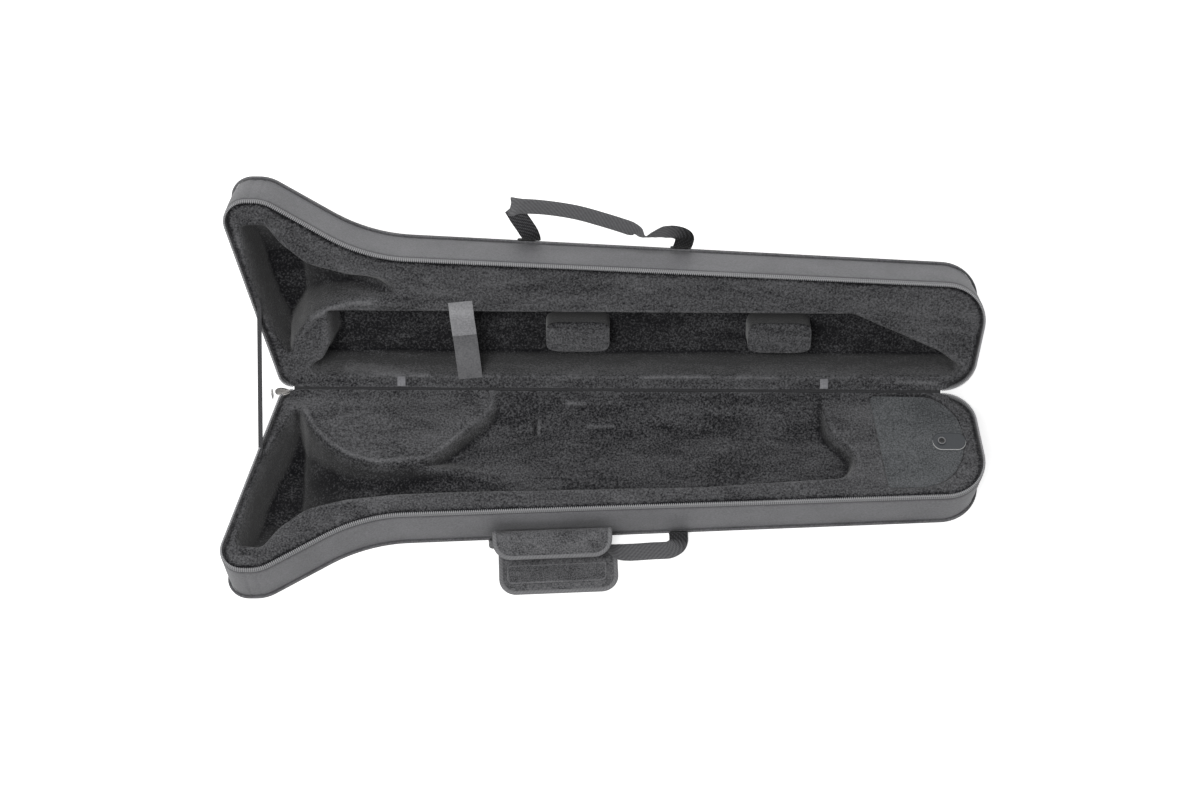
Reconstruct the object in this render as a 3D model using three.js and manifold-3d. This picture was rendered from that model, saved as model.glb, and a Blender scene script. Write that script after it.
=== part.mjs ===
// Soft-shell trombone case, open, with its lid leaning back against a stay strap.
// Millimetres. +X runs along the hinge line from the bell end to the tail, +Y points to the
// hinge side and +Z up. The origin is on the underside of the base, near its middle.
import * as THREE from 'three';
import { mergeVertices } from 'three/addons/utils/BufferGeometryUtils.js';
import Module from 'manifold-3d';

const wasm = await Module();
wasm.setup();

// Plan of the case at its rim. Width is measured from the hinge line towards the handles.
const bellHingeX = -419;
const tailHingeX = 501;
const bellCornerX = -495;
const bellEndWidth = 264;
const bellFrontX = -432;
const flareX = -303;
const flareWidth = 186.5;
const tailCornerX = 520;
const tailWidth = 151;
const hingeBellRadius = 20;
const bellCornerRadius = 30;
const bellFrontRadius = 50;
const flareRadius = 220;
const tailFrontRadius = 55;
const tailHingeRadius = 45;

// Each half is deepest at the bell and shallowest at the tail.
const bellDepth = 97;
const tailDepth = 84;
const openAngle = 127;
const originWidth = 85;

// Shell walls
const wallThickness = 6;
const panelThickness = 4;
const clearance = 0.3;
const overrun = 5;
const pipingRadius = 1.8;
const pipingSides = 6;
const pipingLift = 0.6;

// Zip round the bell end, the front and the tail
const tapeThickness = 2.4;
const tapeHeight = 9;
const tapeTopDrop = 3.4;
const toothTipDrop = 0.7;
const toothRootDrop = 2.2;
const toothPitch = 11;
const chainWidth = 2.6;
const chainInset = 0.4;
const sliderLength = 9;
const sliderWidth = 7;
const sliderHeight = 8;
const sliderSlot = 2;
const sliderSlotShare = 0.55;
const sliderCentreWidth = 6;
const pullLength = 17;
const pullWidth = 8;
const pullThickness = 1.4;
const pullHoleShare = 0.45;
const pullTopRadius = 2.4;
const pullEndRadius = 3.4;
const pullTopHeight = 2;

// Moulded inserts
const insertTopDrop = 6;
const flangeInset = 2.8;
const bodyInset = wallThickness + clearance;

// The bell lies on the rim plane with its axis leaning a little towards the handles.
const bellRadius = 87;
const bellOval = 1.16;
const bellClearance = 2;
const bellMouthX = -449;
const bellMouthWidth = 124;
const bellAxisLean = 4;
const bellSlotLength = 46;
const hornShift = 34;
const hornPower = 0.7;
const hornShares = [0.03, 0.07, 0.12, 0.2, 0.32, 0.55];
const throatLength = 300;
const throatRadius = 21;
const bellSegments = 40;
const bellLedge = 16;

// Slide bay of the base
const bayStartX = -196;
const bayHingeMargin = 12;
const bayEndHingeX = 290;
const bayEndX = 345;
const bayEndWidth = 108;
const bayFrontX = 318;
const bayFrontLedge = 20;
const bayDepth = 32;
const bayCornerRadius = 24;
const notchX = -87;
const notchLength = 10;
const notchDepth = 5;
const notchWidth = 34;

// Accessory compartment and its flap
const flapHingeX = 364;
const flapFrontX = 386;
const flapEndX = 486;
const flapMargin = 6;
const flapFrontMargin = 15;
const flapThickness = 3;
const flapCornerRadius = 7;
const flapEndRadius = 48;
const flapLedge = 9;
const compartmentDepth = 56;
const tabLength = 44;
const tabWidth = 25;
const tabThickness = 2;
const tabOverhang = 3;
const rivetRadius = 4;
const rivetHoleRadius = 1.6;
const rivetHeight = 1.2;
const rivetTopShare = 0.75;
const rivetPlaceShare = 0.27;
const tabRoundShare = 0.48;

// Slide recess of the lid
const recessStartX = -352;
const recessFrontWidth = 111;
const recessHingeWidth = 34;
const recessEndX = 350;
const recessTipX = 478;
const recessTipWidth = 36;
const recessDepth = 66;
const recessCornerRadius = 10;
const stepHingeWidth = 15;
const stepStartX = -371;
const stepDepth = 16;
const padLength = 88;
const padWidth = 46;
const padHingeWidth = 50;
const padHeight = 38;
const padCornerRadius = 14;
const padLevelShares = [[1, 0], [1, 0.6], [0.95, 0.88], [0.86, 1]];
const padCentresX = [-31, 240];

// Hollows in the back of the lid's insert, which keep the lid light
const reliefWall = 12;
const reliefStartX = -262;
const reliefEndX = 430;
const reliefRadius = 8;

// Slide strap, of two lengths that overlap over the recess
const strapX = -184;
const strapWidth = 32;
const strapThickness = 1.6;
const strapLowerStart = 10;
const strapUpperStart = 124;
const strapLap = 7;
const strapLapWidth = 80;
const strapSewn = 10;

// Small tabs on the hinge line
const hingeTabCentresX = [-266, 297];
const hingeTabLength = 11;
const hingeTabWidth = 12;
const hingeTabThickness = 1.5;

// Stay strap that holds the lid, and its sewn ends
const stayWidthPlace = 92;
const stayWidth = 7;
const stayThickness = 1.6;
const stayTabLength = 12;
const stayInset = 6;

// Webbing handles
const webbingWidth = 25;
const webbingThickness = 2;
const handleCentreX = 8;
const handleSpan = 204;
const anchorHeight = 13;
const anchorLapShare = 0.6;
const lidHandleRise = 50;
const lidHandleTurnShare = 0.92;
const baseHandleReach = 25;
const gripStartInset = 2;
const gripEndX = 84;
const gripTwistLength = 24;
const gripFlatLength = 8;
const gripTwistLift = 10;
const gripFloorLift = 2.2;
const curlLength = 13;
const curlRoundShare = 0.6;

// Wrap that closes round both handles, sewn along its middle to the base's webbing
const wrapCentreX = -58;
const wrapLength = 156;
const wrapThickness = 2.6;
const wrapSpineHeight = 29;
const wrapLowerReach = 70;
const wrapUpperReach = 58;
const wrapCornerRadius = 20;
const wrapUpperAngle = 20;
const wrapFloorLift = 0.4;
const fastenerMargin = 12;
const fastenerWidth = 18;
const fastenerThickness = 1.2;

// Smoothness of arcs
const arcStep = THREE.MathUtils.degToRad(9);
const arcChord = 26;

const radians = THREE.MathUtils.degToRad;
const taper = (bellDepth - tailDepth) / (tailCornerX - bellCornerX);
const tilt = Math.atan(taper);

function depthAt(x) {
  return bellDepth - taper * (x - bellCornerX);
}

function frontWidthAt(x) {
  const share = (x - flareX) / (tailCornerX - flareX);
  return THREE.MathUtils.lerp(flareWidth, tailWidth, share);
}

function bellWallX(width) {
  return THREE.MathUtils.lerp(bellHingeX, bellCornerX, width / bellEndWidth);
}

// Heights over the rim plane: belowRim counts down from the rim, overFloor up from the bottom.
function belowRim(drop) {
  return () => -drop;
}

function overFloor(lift) {
  return (x) => lift - depthAt(x);
}

const materials = {
  nylon: new THREE.MeshStandardMaterial({ color: 0x6e6e70, roughness: 0.75 }),
  plush: new THREE.MeshStandardMaterial({ color: 0x3f3f41, roughness: 1 }),
  felt: new THREE.MeshStandardMaterial({ color: 0x555a5f, roughness: 1 }),
  webbing: new THREE.MeshStandardMaterial({ color: 0x4c4c4e, roughness: 0.8 }),
  strap: new THREE.MeshStandardMaterial({ color: 0x7a7a7c, roughness: 0.8 }),
  trim: new THREE.MeshStandardMaterial({ color: 0x2c2c2e, roughness: 0.6 }),
  zip: new THREE.MeshStandardMaterial({ color: 0x8d8d8f, roughness: 0.5 }),
  metal: new THREE.MeshStandardMaterial({ color: 0xc8c8c8, roughness: 0.3, metalness: 1 }),
  vinyl: new THREE.MeshStandardMaterial({ color: 0x2e2f31, roughness: 0.5 }),
};

// Plan outlines

// A closed or open path through the corners, each rounded by an arc of its radius.
function roundedPath(corners, closed = true) {
  const path = [];
  corners.forEach(([x, y, radius], i) => {
    const corner = new THREE.Vector2(x, y);
    const isEnd = !closed && (i === 0 || i === corners.length - 1);
    if (isEnd || !radius) {
      path.push(corner);
      return;
    }
    const [beforeX, beforeY] = corners[(i + corners.length - 1) % corners.length];
    const [afterX, afterY] = corners[(i + 1) % corners.length];
    const towardsBefore = new THREE.Vector2(beforeX, beforeY).sub(corner).normalize();
    const towardsAfter = new THREE.Vector2(afterX, afterY).sub(corner).normalize();
    const halfAngle = Math.acos(THREE.MathUtils.clamp(towardsBefore.dot(towardsAfter), -1, 1)) / 2;
    const bisector = towardsBefore.clone().add(towardsAfter).normalize();
    const centre = corner.clone().addScaledVector(bisector, radius / Math.sin(halfAngle));
    const start = corner.clone().addScaledVector(towardsBefore, radius / Math.tan(halfAngle));
    const startAngle = start.sub(centre).angle();
    const turnSign = Math.sign(towardsAfter.cross(towardsBefore));
    const turn = Math.PI - 2 * halfAngle;
    const steps = Math.max(Math.ceil(turn / arcStep), Math.ceil((turn * radius) / arcChord));
    for (let step = 0; step <= steps; step += 1) {
      const angle = startAngle + (turnSign * turn * step) / steps;
      path.push(new THREE.Vector2(Math.cos(angle), Math.sin(angle)).multiplyScalar(radius).add(centre));
    }
  });
  return path;
}

function edgeNormal(a, b) {
  return new THREE.Vector2(b.y - a.y, a.x - b.x).normalize();
}

// Moves each point of a path inwards by inset, square to its two edges.
function insetPath(path, inset, closed = true) {
  const count = path.length;
  return path.map((point, i) => {
    const before = path[closed ? (i + count - 1) % count : Math.max(i - 1, 0)];
    const after = path[closed ? (i + 1) % count : Math.min(i + 1, count - 1)];
    const first = before === point ? edgeNormal(point, after) : edgeNormal(before, point);
    const second = after === point ? first : edgeNormal(point, after);
    const mitre = first.clone().add(second);
    return point.clone().addScaledVector(mitre, (2 * inset) / mitre.lengthSq());
  });
}

// The outline starts where the bell-end corner leaves the hinge line and ends where the tail
// corner meets it, so that without its closing edge it is the route of the zip.
const outline = roundedPath([
  [bellHingeX, 0, hingeBellRadius],
  [bellCornerX, bellEndWidth, bellCornerRadius],
  [bellFrontX, bellEndWidth, bellFrontRadius],
  [flareX, flareWidth, flareRadius],
  [tailCornerX, tailWidth, tailFrontRadius],
  [tailHingeX, 0, tailHingeRadius],
]);

// Where the bell-end wall is at a width from the hinge, its rounded corner included
function bellEdgeX(width) {
  const after = outline.findIndex((point) => point.y > width);
  const [a, b] = [outline[after - 1], outline[after]];
  return THREE.MathUtils.lerp(a.x, b.x, (width - a.y) / (b.y - a.y));
}

// Solids

function geometryFrom(points, triangles) {
  const geometry = new THREE.BufferGeometry();
  geometry.setAttribute('position', new THREE.Float32BufferAttribute(points.flat(), 3));
  geometry.setIndex(triangles.flat());
  return facingOut(geometry);
}

function signedVolume(geometry) {
  const position = geometry.attributes.position;
  const index = geometry.index;
  const corner = [new THREE.Vector3(), new THREE.Vector3(), new THREE.Vector3()];
  let volume = 0;
  for (let i = 0; i < index.count; i += 3) {
    corner.forEach((vertex, k) => vertex.fromBufferAttribute(position, index.getX(i + k)));
    volume += corner[0].dot(corner[1].clone().cross(corner[2])) / 6;
  }
  return volume;
}

// Turns every triangle over if the faces of a closed body point inwards.
function facingOut(geometry) {
  if (signedVolume(geometry) > 0) return geometry;
  const index = geometry.index;
  for (let i = 0; i < index.count; i += 3) {
    const kept = index.getX(i + 1);
    index.setX(i + 1, index.getX(i + 2));
    index.setX(i + 2, kept);
  }
  return geometry;
}

// A section of [inset, height] points carried round the outline as a closed ring.
function ring(path, section) {
  const loops = section.map(([inset, height]) =>
    insetPath(path, inset).map((point) => [point.x, point.y, height(point.x)]),
  );
  return joinLoops(loops, path.length, true);
}

// The same section carried along an open path, with its two ends closed.
function strip(path, section) {
  const loops = section.map(([inset, height]) =>
    insetPath(path, inset, false).map((point, i) => [point.x, point.y, height(point.x, i)]),
  );
  return joinLoops(loops, path.length, false);
}

function joinLoops(loops, count, closed) {
  const sides = loops.length;
  const triangles = [];
  const last = closed ? count : count - 1;
  for (let side = 0; side < sides; side += 1) {
    const nextSide = (side + 1) % sides;
    for (let i = 0; i < last; i += 1) {
      const next = (i + 1) % count;
      const a = side * count + i;
      const b = side * count + next;
      const c = nextSide * count + next;
      const d = nextSide * count + i;
      triangles.push([a, b, c], [a, c, d]);
    }
  }
  if (!closed) {
    for (let side = 1; side < sides - 1; side += 1) {
      triangles.push([0, side * count, (side + 1) * count]);
      const end = count - 1;
      triangles.push([end, (side + 1) * count + end, side * count + end]);
    }
  }
  return geometryFrom(loops.flat(), triangles);
}

// The plan's triangles, each counter-clockwise seen from above.
function capTriangles(path) {
  return THREE.ShapeUtils.triangulateShape(path, []).map(([a, b, c]) => {
    const ab = path[b].clone().sub(path[a]);
    const ac = path[c].clone().sub(path[a]);
    return ab.cross(ac) > 0 ? [a, b, c] : [a, c, b];
  });
}

// Loops of the same plan stacked one over the other, closed below and above.
function cappedStack(loops, plan) {
  const count = plan.length;
  const top = (loops.length - 1) * count;
  const triangles = capTriangles(plan).flatMap(([a, b, c]) => [
    [a, c, b],
    [a + top, b + top, c + top],
  ]);
  const isClockwise = THREE.ShapeUtils.area(plan) < 0;
  for (let level = 0; level < loops.length - 1; level += 1) {
    for (let i = 0; i < count; i += 1) {
      const here = level * count + i;
      const next = level * count + ((i + 1) % count);
      const [a, b] = isClockwise ? [next, here] : [here, next];
      triangles.push([a, b, b + count], [a, b + count, a + count]);
    }
  }
  return geometryFrom(loops.flat(), triangles);
}

// A plate whose plan is the path, between two heights that may slope along x.
function plate(path, bottom, top) {
  const loops = [bottom, top].map((height) => path.map((point) => [point.x, point.y, height(point.x)]));
  return cappedStack(loops, path);
}

// Webbing: a flat band through stations, each with its place and the way its width lies.
function band(stations, width, thickness, steps) {
  const curve = new THREE.CatmullRomCurve3(stations.map(({ place }) => place), false, 'centripetal');
  const loops = [[], [], [], []];
  for (let step = 0; step <= steps; step += 1) {
    const share = step / steps;
    const place = curve.getPoint(share);
    const tangent = curve.getTangent(share);
    const spans = stations.length - 1;
    const from = Math.min(Math.floor(share * spans), spans - 1);
    const along = share * spans - from;
    const across = stations[from].across.clone().lerp(stations[from + 1].across, along);
    across.addScaledVector(tangent, -across.dot(tangent)).setLength(width / 2);
    const through = tangent.clone().cross(across).setLength(thickness / 2);
    [[1, 1], [1, -1], [-1, -1], [-1, 1]].forEach(([acrossSign, throughSign], k) => {
      const corner = place.clone().addScaledVector(across, acrossSign).addScaledVector(through, throughSign);
      loops[k].push(corner.toArray());
    });
  }
  return joinLoops(loops, steps + 1, false);
}

function box(length, width, height, centre) {
  return new THREE.BoxGeometry(length, width, height).translate(...centre);
}

// One vertex for each corner, and none of the flat triangles that a pole leaves.
function merged(geometry) {
  const bare = geometry.clone();
  bare.deleteAttribute('normal');
  bare.deleteAttribute('uv');
  const welded = mergeVertices(bare, 1e-4);
  const kept = [];
  for (let i = 0; i < welded.index.count; i += 3) {
    const corners = [0, 1, 2].map((k) => welded.index.getX(i + k));
    if (new Set(corners).size === 3) kept.push(...corners);
  }
  welded.setIndex(kept);
  return facingOut(welded);
}

function solidOf(geometry) {
  const closed = merged(geometry);
  return new wasm.Manifold(
    new wasm.Mesh({
      numProp: 3,
      vertProperties: closed.attributes.position.array,
      triVerts: new Uint32Array(closed.index.array),
    }),
  );
}

function geometryOf(solid) {
  const mesh = solid.getMesh();
  const geometry = new THREE.BufferGeometry();
  geometry.setAttribute('position', new THREE.BufferAttribute(mesh.vertProperties, 3));
  geometry.setIndex(new THREE.BufferAttribute(mesh.triVerts, 1));
  return geometry;
}

function cut(body, ...tools) {
  return geometryOf(tools.reduce((solid, tool) => solid.subtract(solidOf(tool)), solidOf(body)));
}

function fuse(...parts) {
  return geometryOf(parts.map(solidOf).reduce((whole, part) => whole.add(part)));
}

// The base is the lid's plan turned over the hinge line, so width runs to -Y there.
function acrossHinge(geometry) {
  return merged(geometry.clone().scale(1, -1, 1));
}

// Scene graph: the rim frame stands on the sloping bottom, and the lid turns in it.
const model = new THREE.Group();
const rimFrame = new THREE.Group();
rimFrame.rotation.y = tilt;
rimFrame.position.set(0, originWidth, depthAt(0) * Math.cos(tilt));
const lidFrame = new THREE.Group();
lidFrame.rotation.x = radians(180 - openAngle);
rimFrame.add(lidFrame);
model.add(rimFrame);

function addPiece(frame, name, geometry, material) {
  const mesh = new THREE.Mesh(geometry, material);
  mesh.name = name;
  frame.add(mesh);
}

function addToBase(name, geometry, material) {
  addPiece(rimFrame, name, acrossHinge(geometry), material);
}

function addToLid(name, geometry, material) {
  addPiece(lidFrame, name, geometry, material);
}

// Pieces that both halves have

const tapeBottomDrop = tapeTopDrop + tapeHeight;
const wallTopDrop = tapeBottomDrop + clearance;

function sideWall() {
  return ring(outline, [
    [0, overFloor(panelThickness + clearance)],
    [0, belowRim(wallTopDrop)],
    [wallThickness, belowRim(wallTopDrop)],
    [wallThickness, overFloor(panelThickness + clearance)],
  ]);
}

function outerPanel() {
  return plate(outline, overFloor(0), overFloor(panelThickness));
}

function piping() {
  const centreInset = -(pipingRadius + clearance);
  const centreLift = pipingRadius + pipingLift;
  const section = Array.from({ length: pipingSides }, (_, i) => {
    const angle = (2 * Math.PI * i) / pipingSides;
    const [across, up] = [pipingRadius * Math.cos(angle), pipingRadius * Math.sin(angle)];
    return [centreInset + across, overFloor(centreLift + up)];
  });
  return ring(outline, section);
}

function zipTape() {
  return strip(outline, [
    [0, belowRim(tapeBottomDrop)],
    [0, belowRim(tapeTopDrop)],
    [tapeThickness, belowRim(tapeTopDrop)],
    [tapeThickness, belowRim(tapeBottomDrop)],
  ]);
}

// The teeth stand on a cord along the tape; each tooth is a crest between two hollows.
function zipTeeth() {
  const route = new THREE.CurvePath();
  outline.slice(1).forEach((point, i) => route.add(new THREE.LineCurve(outline[i], point)));
  const crests = Math.round(route.getLength() / toothPitch);
  const stations = 2 * crests;
  const path = Array.from({ length: stations + 1 }, (_, i) => route.getPoint(i / stations));
  const toothTop = (x, i) => -(i % 2 ? toothTipDrop : toothRootDrop);
  const cordBottom = belowRim(tapeTopDrop - clearance);
  return strip(path, [
    [chainInset, cordBottom],
    [chainInset, toothTop],
    [chainInset + chainWidth, toothTop],
    [chainInset + chainWidth, cordBottom],
  ]);
}

// The foam body fills the shell, and its flange lies over the top of the wall.
function insertBlock() {
  const bottom = overFloor(panelThickness + clearance);
  const body = plate(insetPath(outline, bodyInset), bottom, belowRim(insertTopDrop));
  const flangeBottom = belowRim(wallTopDrop - clearance);
  const flange = plate(insetPath(outline, flangeInset), flangeBottom, belowRim(insertTopDrop));
  return fuse(body, flange);
}

// The bell's pocket: a drum for its rim, then its horn, whose radius falls with distance. It is
// wider than deep, so that fingers get round the bell.
function bellPocket() {
  const rimRadius = bellRadius + bellClearance;
  const profile = [new THREE.Vector2(0, 0), new THREE.Vector2(rimRadius, 0)];
  profile.push(new THREE.Vector2(rimRadius, bellSlotLength));
  hornShares.forEach((share) => {
    const distance = share * throatLength;
    const radius = bellRadius * (hornShift / (distance + hornShift)) ** hornPower;
    const roomRadius = Math.max(radius + bellClearance, throatRadius);
    profile.push(new THREE.Vector2(roomRadius, bellSlotLength + distance));
  });
  profile.push(new THREE.Vector2(throatRadius, bellSlotLength + throatLength));
  profile.push(new THREE.Vector2(0, bellSlotLength + throatLength));
  const horn = new THREE.LatheGeometry(profile, bellSegments);
  horn.rotateZ(radians(-90));
  horn.scale(1, bellOval, 1);
  horn.rotateZ(radians(bellAxisLean));
  horn.translate(bellMouthX, bellMouthWidth, 0);
  const room = insetPath(outline, bellLedge);
  const within = plate(room, overFloor(-overrun), belowRim(-bellRadius - overrun));
  return geometryOf(solidOf(horn).intersect(solidOf(within)));
}

function hollow(path, floor) {
  return plate(path, floor, belowRim(-overrun));
}

function shellPieces(add, half) {
  add(`${half}_side_wall`, sideWall(), materials.nylon);
  add(`${half}_outer_panel`, outerPanel(), materials.nylon);
  add(`${half}_edge_piping`, piping(), materials.trim);
  add(`${half}_zip_tape`, zipTape(), materials.trim);
  add(`${half}_zip_teeth`, zipTeeth(), materials.zip);
}

shellPieces(addToBase, 'base');
shellPieces(addToLid, 'lid');

// Base insert with its bell pocket, slide bay, brace notch and accessory compartment

// The flap's plan, drawn in by inset before its corners are rounded.
function flapPath(inset, cornerRadius, endRadius) {
  const corners = [
    [flapHingeX, flapMargin],
    [flapFrontX, frontWidthAt(flapFrontX) - flapFrontMargin],
    [flapEndX, frontWidthAt(flapEndX) - flapFrontMargin],
    [flapEndX, flapMargin],
  ];
  const radii = [cornerRadius, cornerRadius, endRadius, endRadius];
  const drawn = insetPath(corners.map(([x, y]) => new THREE.Vector2(x, y)), inset);
  return roundedPath(drawn.map(({ x, y }, i) => [x, y, radii[i]]));
}

function bayPath() {
  const frontAtStart = frontWidthAt(bayStartX) - bayFrontLedge;
  const frontAtEnd = frontWidthAt(bayFrontX) - bayFrontLedge;
  return roundedPath([
    [bayStartX, bayHingeMargin, bayCornerRadius],
    [bayStartX, frontAtStart, bayCornerRadius],
    [bayFrontX, frontAtEnd, bayCornerRadius],
    [bayEndX, bayEndWidth, bayCornerRadius],
    [bayEndHingeX, bayHingeMargin, bayCornerRadius],
  ]);
}

function notchPath() {
  return roundedPath([
    [notchX, bayHingeMargin + notchWidth],
    [notchX + notchLength, bayHingeMargin + notchWidth],
    [notchX + notchLength, bayHingeMargin + 2 * notchWidth],
    [notchX, bayHingeMargin + 2 * notchWidth],
  ]);
}

const flapBottomDrop = insertTopDrop + flapThickness + clearance;
const baseInsert = cut(
  insertBlock(),
  bellPocket(),
  hollow(bayPath(), belowRim(bayDepth)),
  hollow(notchPath(), belowRim(bayDepth + notchDepth)),
  hollow(flapPath(-2 * clearance, flapCornerRadius, flapEndRadius), belowRim(flapBottomDrop)),
  hollow(flapPath(flapLedge, flapCornerRadius, flapEndRadius - flapLedge), belowRim(compartmentDepth)),
);
addToBase('base_insert', baseInsert, materials.plush);

// Accessory flap with its pull tab and rivet. The tab lies on the flap and reaches past its edge.

const tabCentreX = flapEndX + tabOverhang - tabLength / 2;
const tabCentreWidth = (flapMargin + frontWidthAt(flapEndX) - flapFrontMargin) / 2;
const rivetX = tabCentreX - tabLength / 2 + rivetPlaceShare * tabLength;
const tabBottomDrop = insertTopDrop - clearance;

function pullTab() {
  const [left, right] = [tabCentreX - tabLength / 2, tabCentreX + tabLength / 2];
  const [near, far] = [tabCentreWidth - tabWidth / 2, tabCentreWidth + tabWidth / 2];
  const radius = tabRoundShare * tabWidth;
  const path = roundedPath([
    [left, near, radius],
    [left, far, radius],
    [right, far, radius],
    [right, near, radius],
  ]);
  const body = plate(path, belowRim(tabBottomDrop), belowRim(tabBottomDrop - tabThickness));
  const hole = new THREE.CylinderGeometry(rivetHoleRadius, rivetHoleRadius, 4 * tabThickness, 12);
  hole.rotateX(radians(90)).translate(rivetX, tabCentreWidth, -tabBottomDrop);
  return cut(body, hole);
}

function rivet() {
  const bottom = tabBottomDrop - tabThickness - clearance;
  const profile = [
    [rivetHoleRadius, 0],
    [rivetRadius, 0],
    [rivetTopShare * rivetRadius, rivetHeight],
    [rivetHoleRadius, rivetHeight],
    [rivetHoleRadius, 0],
  ].map(([radius, height]) => new THREE.Vector2(radius, height));
  const head = new THREE.LatheGeometry(profile, 16).rotateX(radians(90));
  return head.translate(rivetX, tabCentreWidth, -bottom);
}

const flapFelt = plate(
  flapPath(0, flapCornerRadius, flapEndRadius),
  belowRim(flapBottomDrop - clearance),
  belowRim(insertTopDrop),
);
addToBase('accessory_flap', flapFelt, materials.felt);
addToBase('flap_pull_tab', pullTab(), materials.vinyl);
addToBase('flap_rivet', rivet(), materials.metal);

// Lid insert with its bell pocket, slide recess and the shelf beside the hinge

function recessPath() {
  return roundedPath([
    [recessStartX, recessHingeWidth, recessCornerRadius],
    [recessStartX, recessFrontWidth, recessCornerRadius],
    [recessEndX, recessFrontWidth, recessCornerRadius],
    [recessTipX, recessTipWidth, recessCornerRadius],
    [recessTipX - recessTipWidth, recessHingeWidth],
  ]);
}

function shelfPath() {
  return roundedPath([
    [stepStartX, stepHingeWidth, recessCornerRadius],
    [recessStartX, recessHingeWidth + overrun],
    [recessTipX - recessTipWidth, recessHingeWidth + overrun],
    [recessTipX - recessTipWidth, stepHingeWidth, recessCornerRadius],
  ]);
}

// Between the recess and the front wall the insert is open at the back, up to a roof.
function landRelief() {
  const near = recessFrontWidth + reliefWall;
  const inset = bodyInset + reliefWall;
  const path = roundedPath([
    [reliefStartX, near, reliefRadius],
    [reliefStartX, frontWidthAt(reliefStartX) - inset, reliefRadius],
    [reliefEndX, frontWidthAt(reliefEndX) - inset],
    [reliefEndX, near],
  ]);
  return plate(path, overFloor(-overrun), belowRim(insertTopDrop + reliefWall));
}

// Behind the recess a shallower hollow leaves a floor as thick as the walls.
function floorRelief() {
  const [near, far] = [recessHingeWidth + reliefWall, recessFrontWidth - reliefWall];
  const path = roundedPath([
    [reliefStartX, near, reliefRadius],
    [reliefStartX, far, reliefRadius],
    [recessEndX, far, reliefRadius],
    [recessEndX, near, reliefRadius],
  ]);
  return plate(path, overFloor(-overrun), belowRim(recessDepth + reliefWall));
}

const lidInsert = cut(
  insertBlock(),
  bellPocket(),
  hollow(recessPath(), belowRim(recessDepth)),
  hollow(shelfPath(), belowRim(stepDepth)),
  landRelief(),
  floorRelief(),
);
addToLid('lid_insert', lidInsert, materials.plush);

// Raised cradles in the recess that the slide lies on
function slidePad(centreX) {
  const rim = [-padLength / 2, padLength / 2].map((half) => centreX + half);
  const corners = [
    [rim[0], padHingeWidth, padCornerRadius],
    [rim[0], padHingeWidth + padWidth, padCornerRadius],
    [rim[1], padHingeWidth + padWidth, padCornerRadius],
    [rim[1], padHingeWidth, padCornerRadius],
  ];
  const foot = roundedPath(corners);
  const middle = new THREE.Vector2(centreX, padHingeWidth + padWidth / 2);
  const loops = padLevelShares.map(([scale, rise]) =>
    foot.map((point) => {
      const drawn = point.clone().sub(middle).multiplyScalar(scale).add(middle);
      return [drawn.x, drawn.y, -recessDepth + clearance + rise * padHeight];
    }),
  );
  return cappedStack(loops, foot);
}

padCentresX.forEach((centreX, i) => addToLid(`slide_pad_${i + 1}`, slidePad(centreX), materials.plush));

// Slide strap: the lower length lies flat, the upper one steps over its end.

const strapDrop = insertTopDrop - clearance - strapThickness / 2;

function strapStations(places) {
  const across = new THREE.Vector3(1, 0, 0);
  return places.map(([width, rise]) => {
    const place = new THREE.Vector3(strapX, width, rise - strapDrop);
    return { place, across };
  });
}

function lowerStrap() {
  const end = strapLapWidth + strapLap;
  return band(strapStations([[strapLowerStart, 0], [end, 0]]), strapWidth, strapThickness, 1);
}

function upperStrap() {
  const lift = strapThickness + clearance;
  const stepStart = strapLapWidth + 3 * strapLap;
  const places = [
    [strapUpperStart, 0],
    [strapUpperStart - strapSewn, 0],
    [stepStart, lift],
    [strapLapWidth, lift],
  ];
  return band(strapStations(places), strapWidth, strapThickness, 12);
}

addToLid('slide_strap_lower', lowerStrap(), materials.strap);
addToLid('slide_strap_upper', upperStrap(), materials.strap);

// Small webbing tabs on the lid's land beside the hinge
hingeTabCentresX.forEach((centreX, i) => {
  const bottom = -insertTopDrop + clearance;
  const centre = [centreX, flangeInset + hingeTabWidth / 2, bottom + hingeTabThickness / 2];
  const tab = box(hingeTabLength, hingeTabWidth, hingeTabThickness, centre);
  addToLid(`hinge_tab_${i + 1}`, tab, materials.strap);
});

// Cloth hinge: a strip over the hinge line with one leg down each half
function hingeCloth() {
  const thickness = tapeThickness - clearance;
  const turn = radians(180 - openAngle);
  const leg = tapeBottomDrop;
  const ontoLid = (width, height) => [
    width * Math.cos(turn) - height * Math.sin(turn),
    width * Math.sin(turn) + height * Math.cos(turn),
  ];
  const section = new THREE.Shape();
  const corners = [
    [0, -leg],
    [0, 0],
    ontoLid(0, -leg),
    ontoLid(thickness, -leg),
    ontoLid(thickness, 0),
    [-thickness, 0],
    [-thickness, -leg],
  ];
  section.setFromPoints(corners.map(([y, z]) => new THREE.Vector2(y, z)));
  const start = outline[0].x + clearance;
  const end = outline[outline.length - 1].x - clearance;
  const cloth = new THREE.ExtrudeGeometry(section, { depth: end - start, bevelEnabled: false });
  const axes = new THREE.Matrix4().makeBasis(
    new THREE.Vector3(0, 1, 0),
    new THREE.Vector3(0, 0, 1),
    new THREE.Vector3(1, 0, 0),
  );
  return cloth.applyMatrix4(axes).translate(start, 0, 0);
}

addPiece(rimFrame, 'hinge_cloth', hingeCloth(), materials.trim);

// Stay strap and its two sewn ends, just inside the zip at the bell end

const stayX = bellWallX(stayWidthPlace) + stayInset + stayWidth / 2;
const stayTabDrop = insertTopDrop - clearance - stayThickness;

function stayTab() {
  const centre = [stayX, stayWidthPlace + stayTabLength / 2, -stayTabDrop - stayThickness / 2];
  return box(stayWidth, stayTabLength, stayThickness, centre);
}

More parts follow.
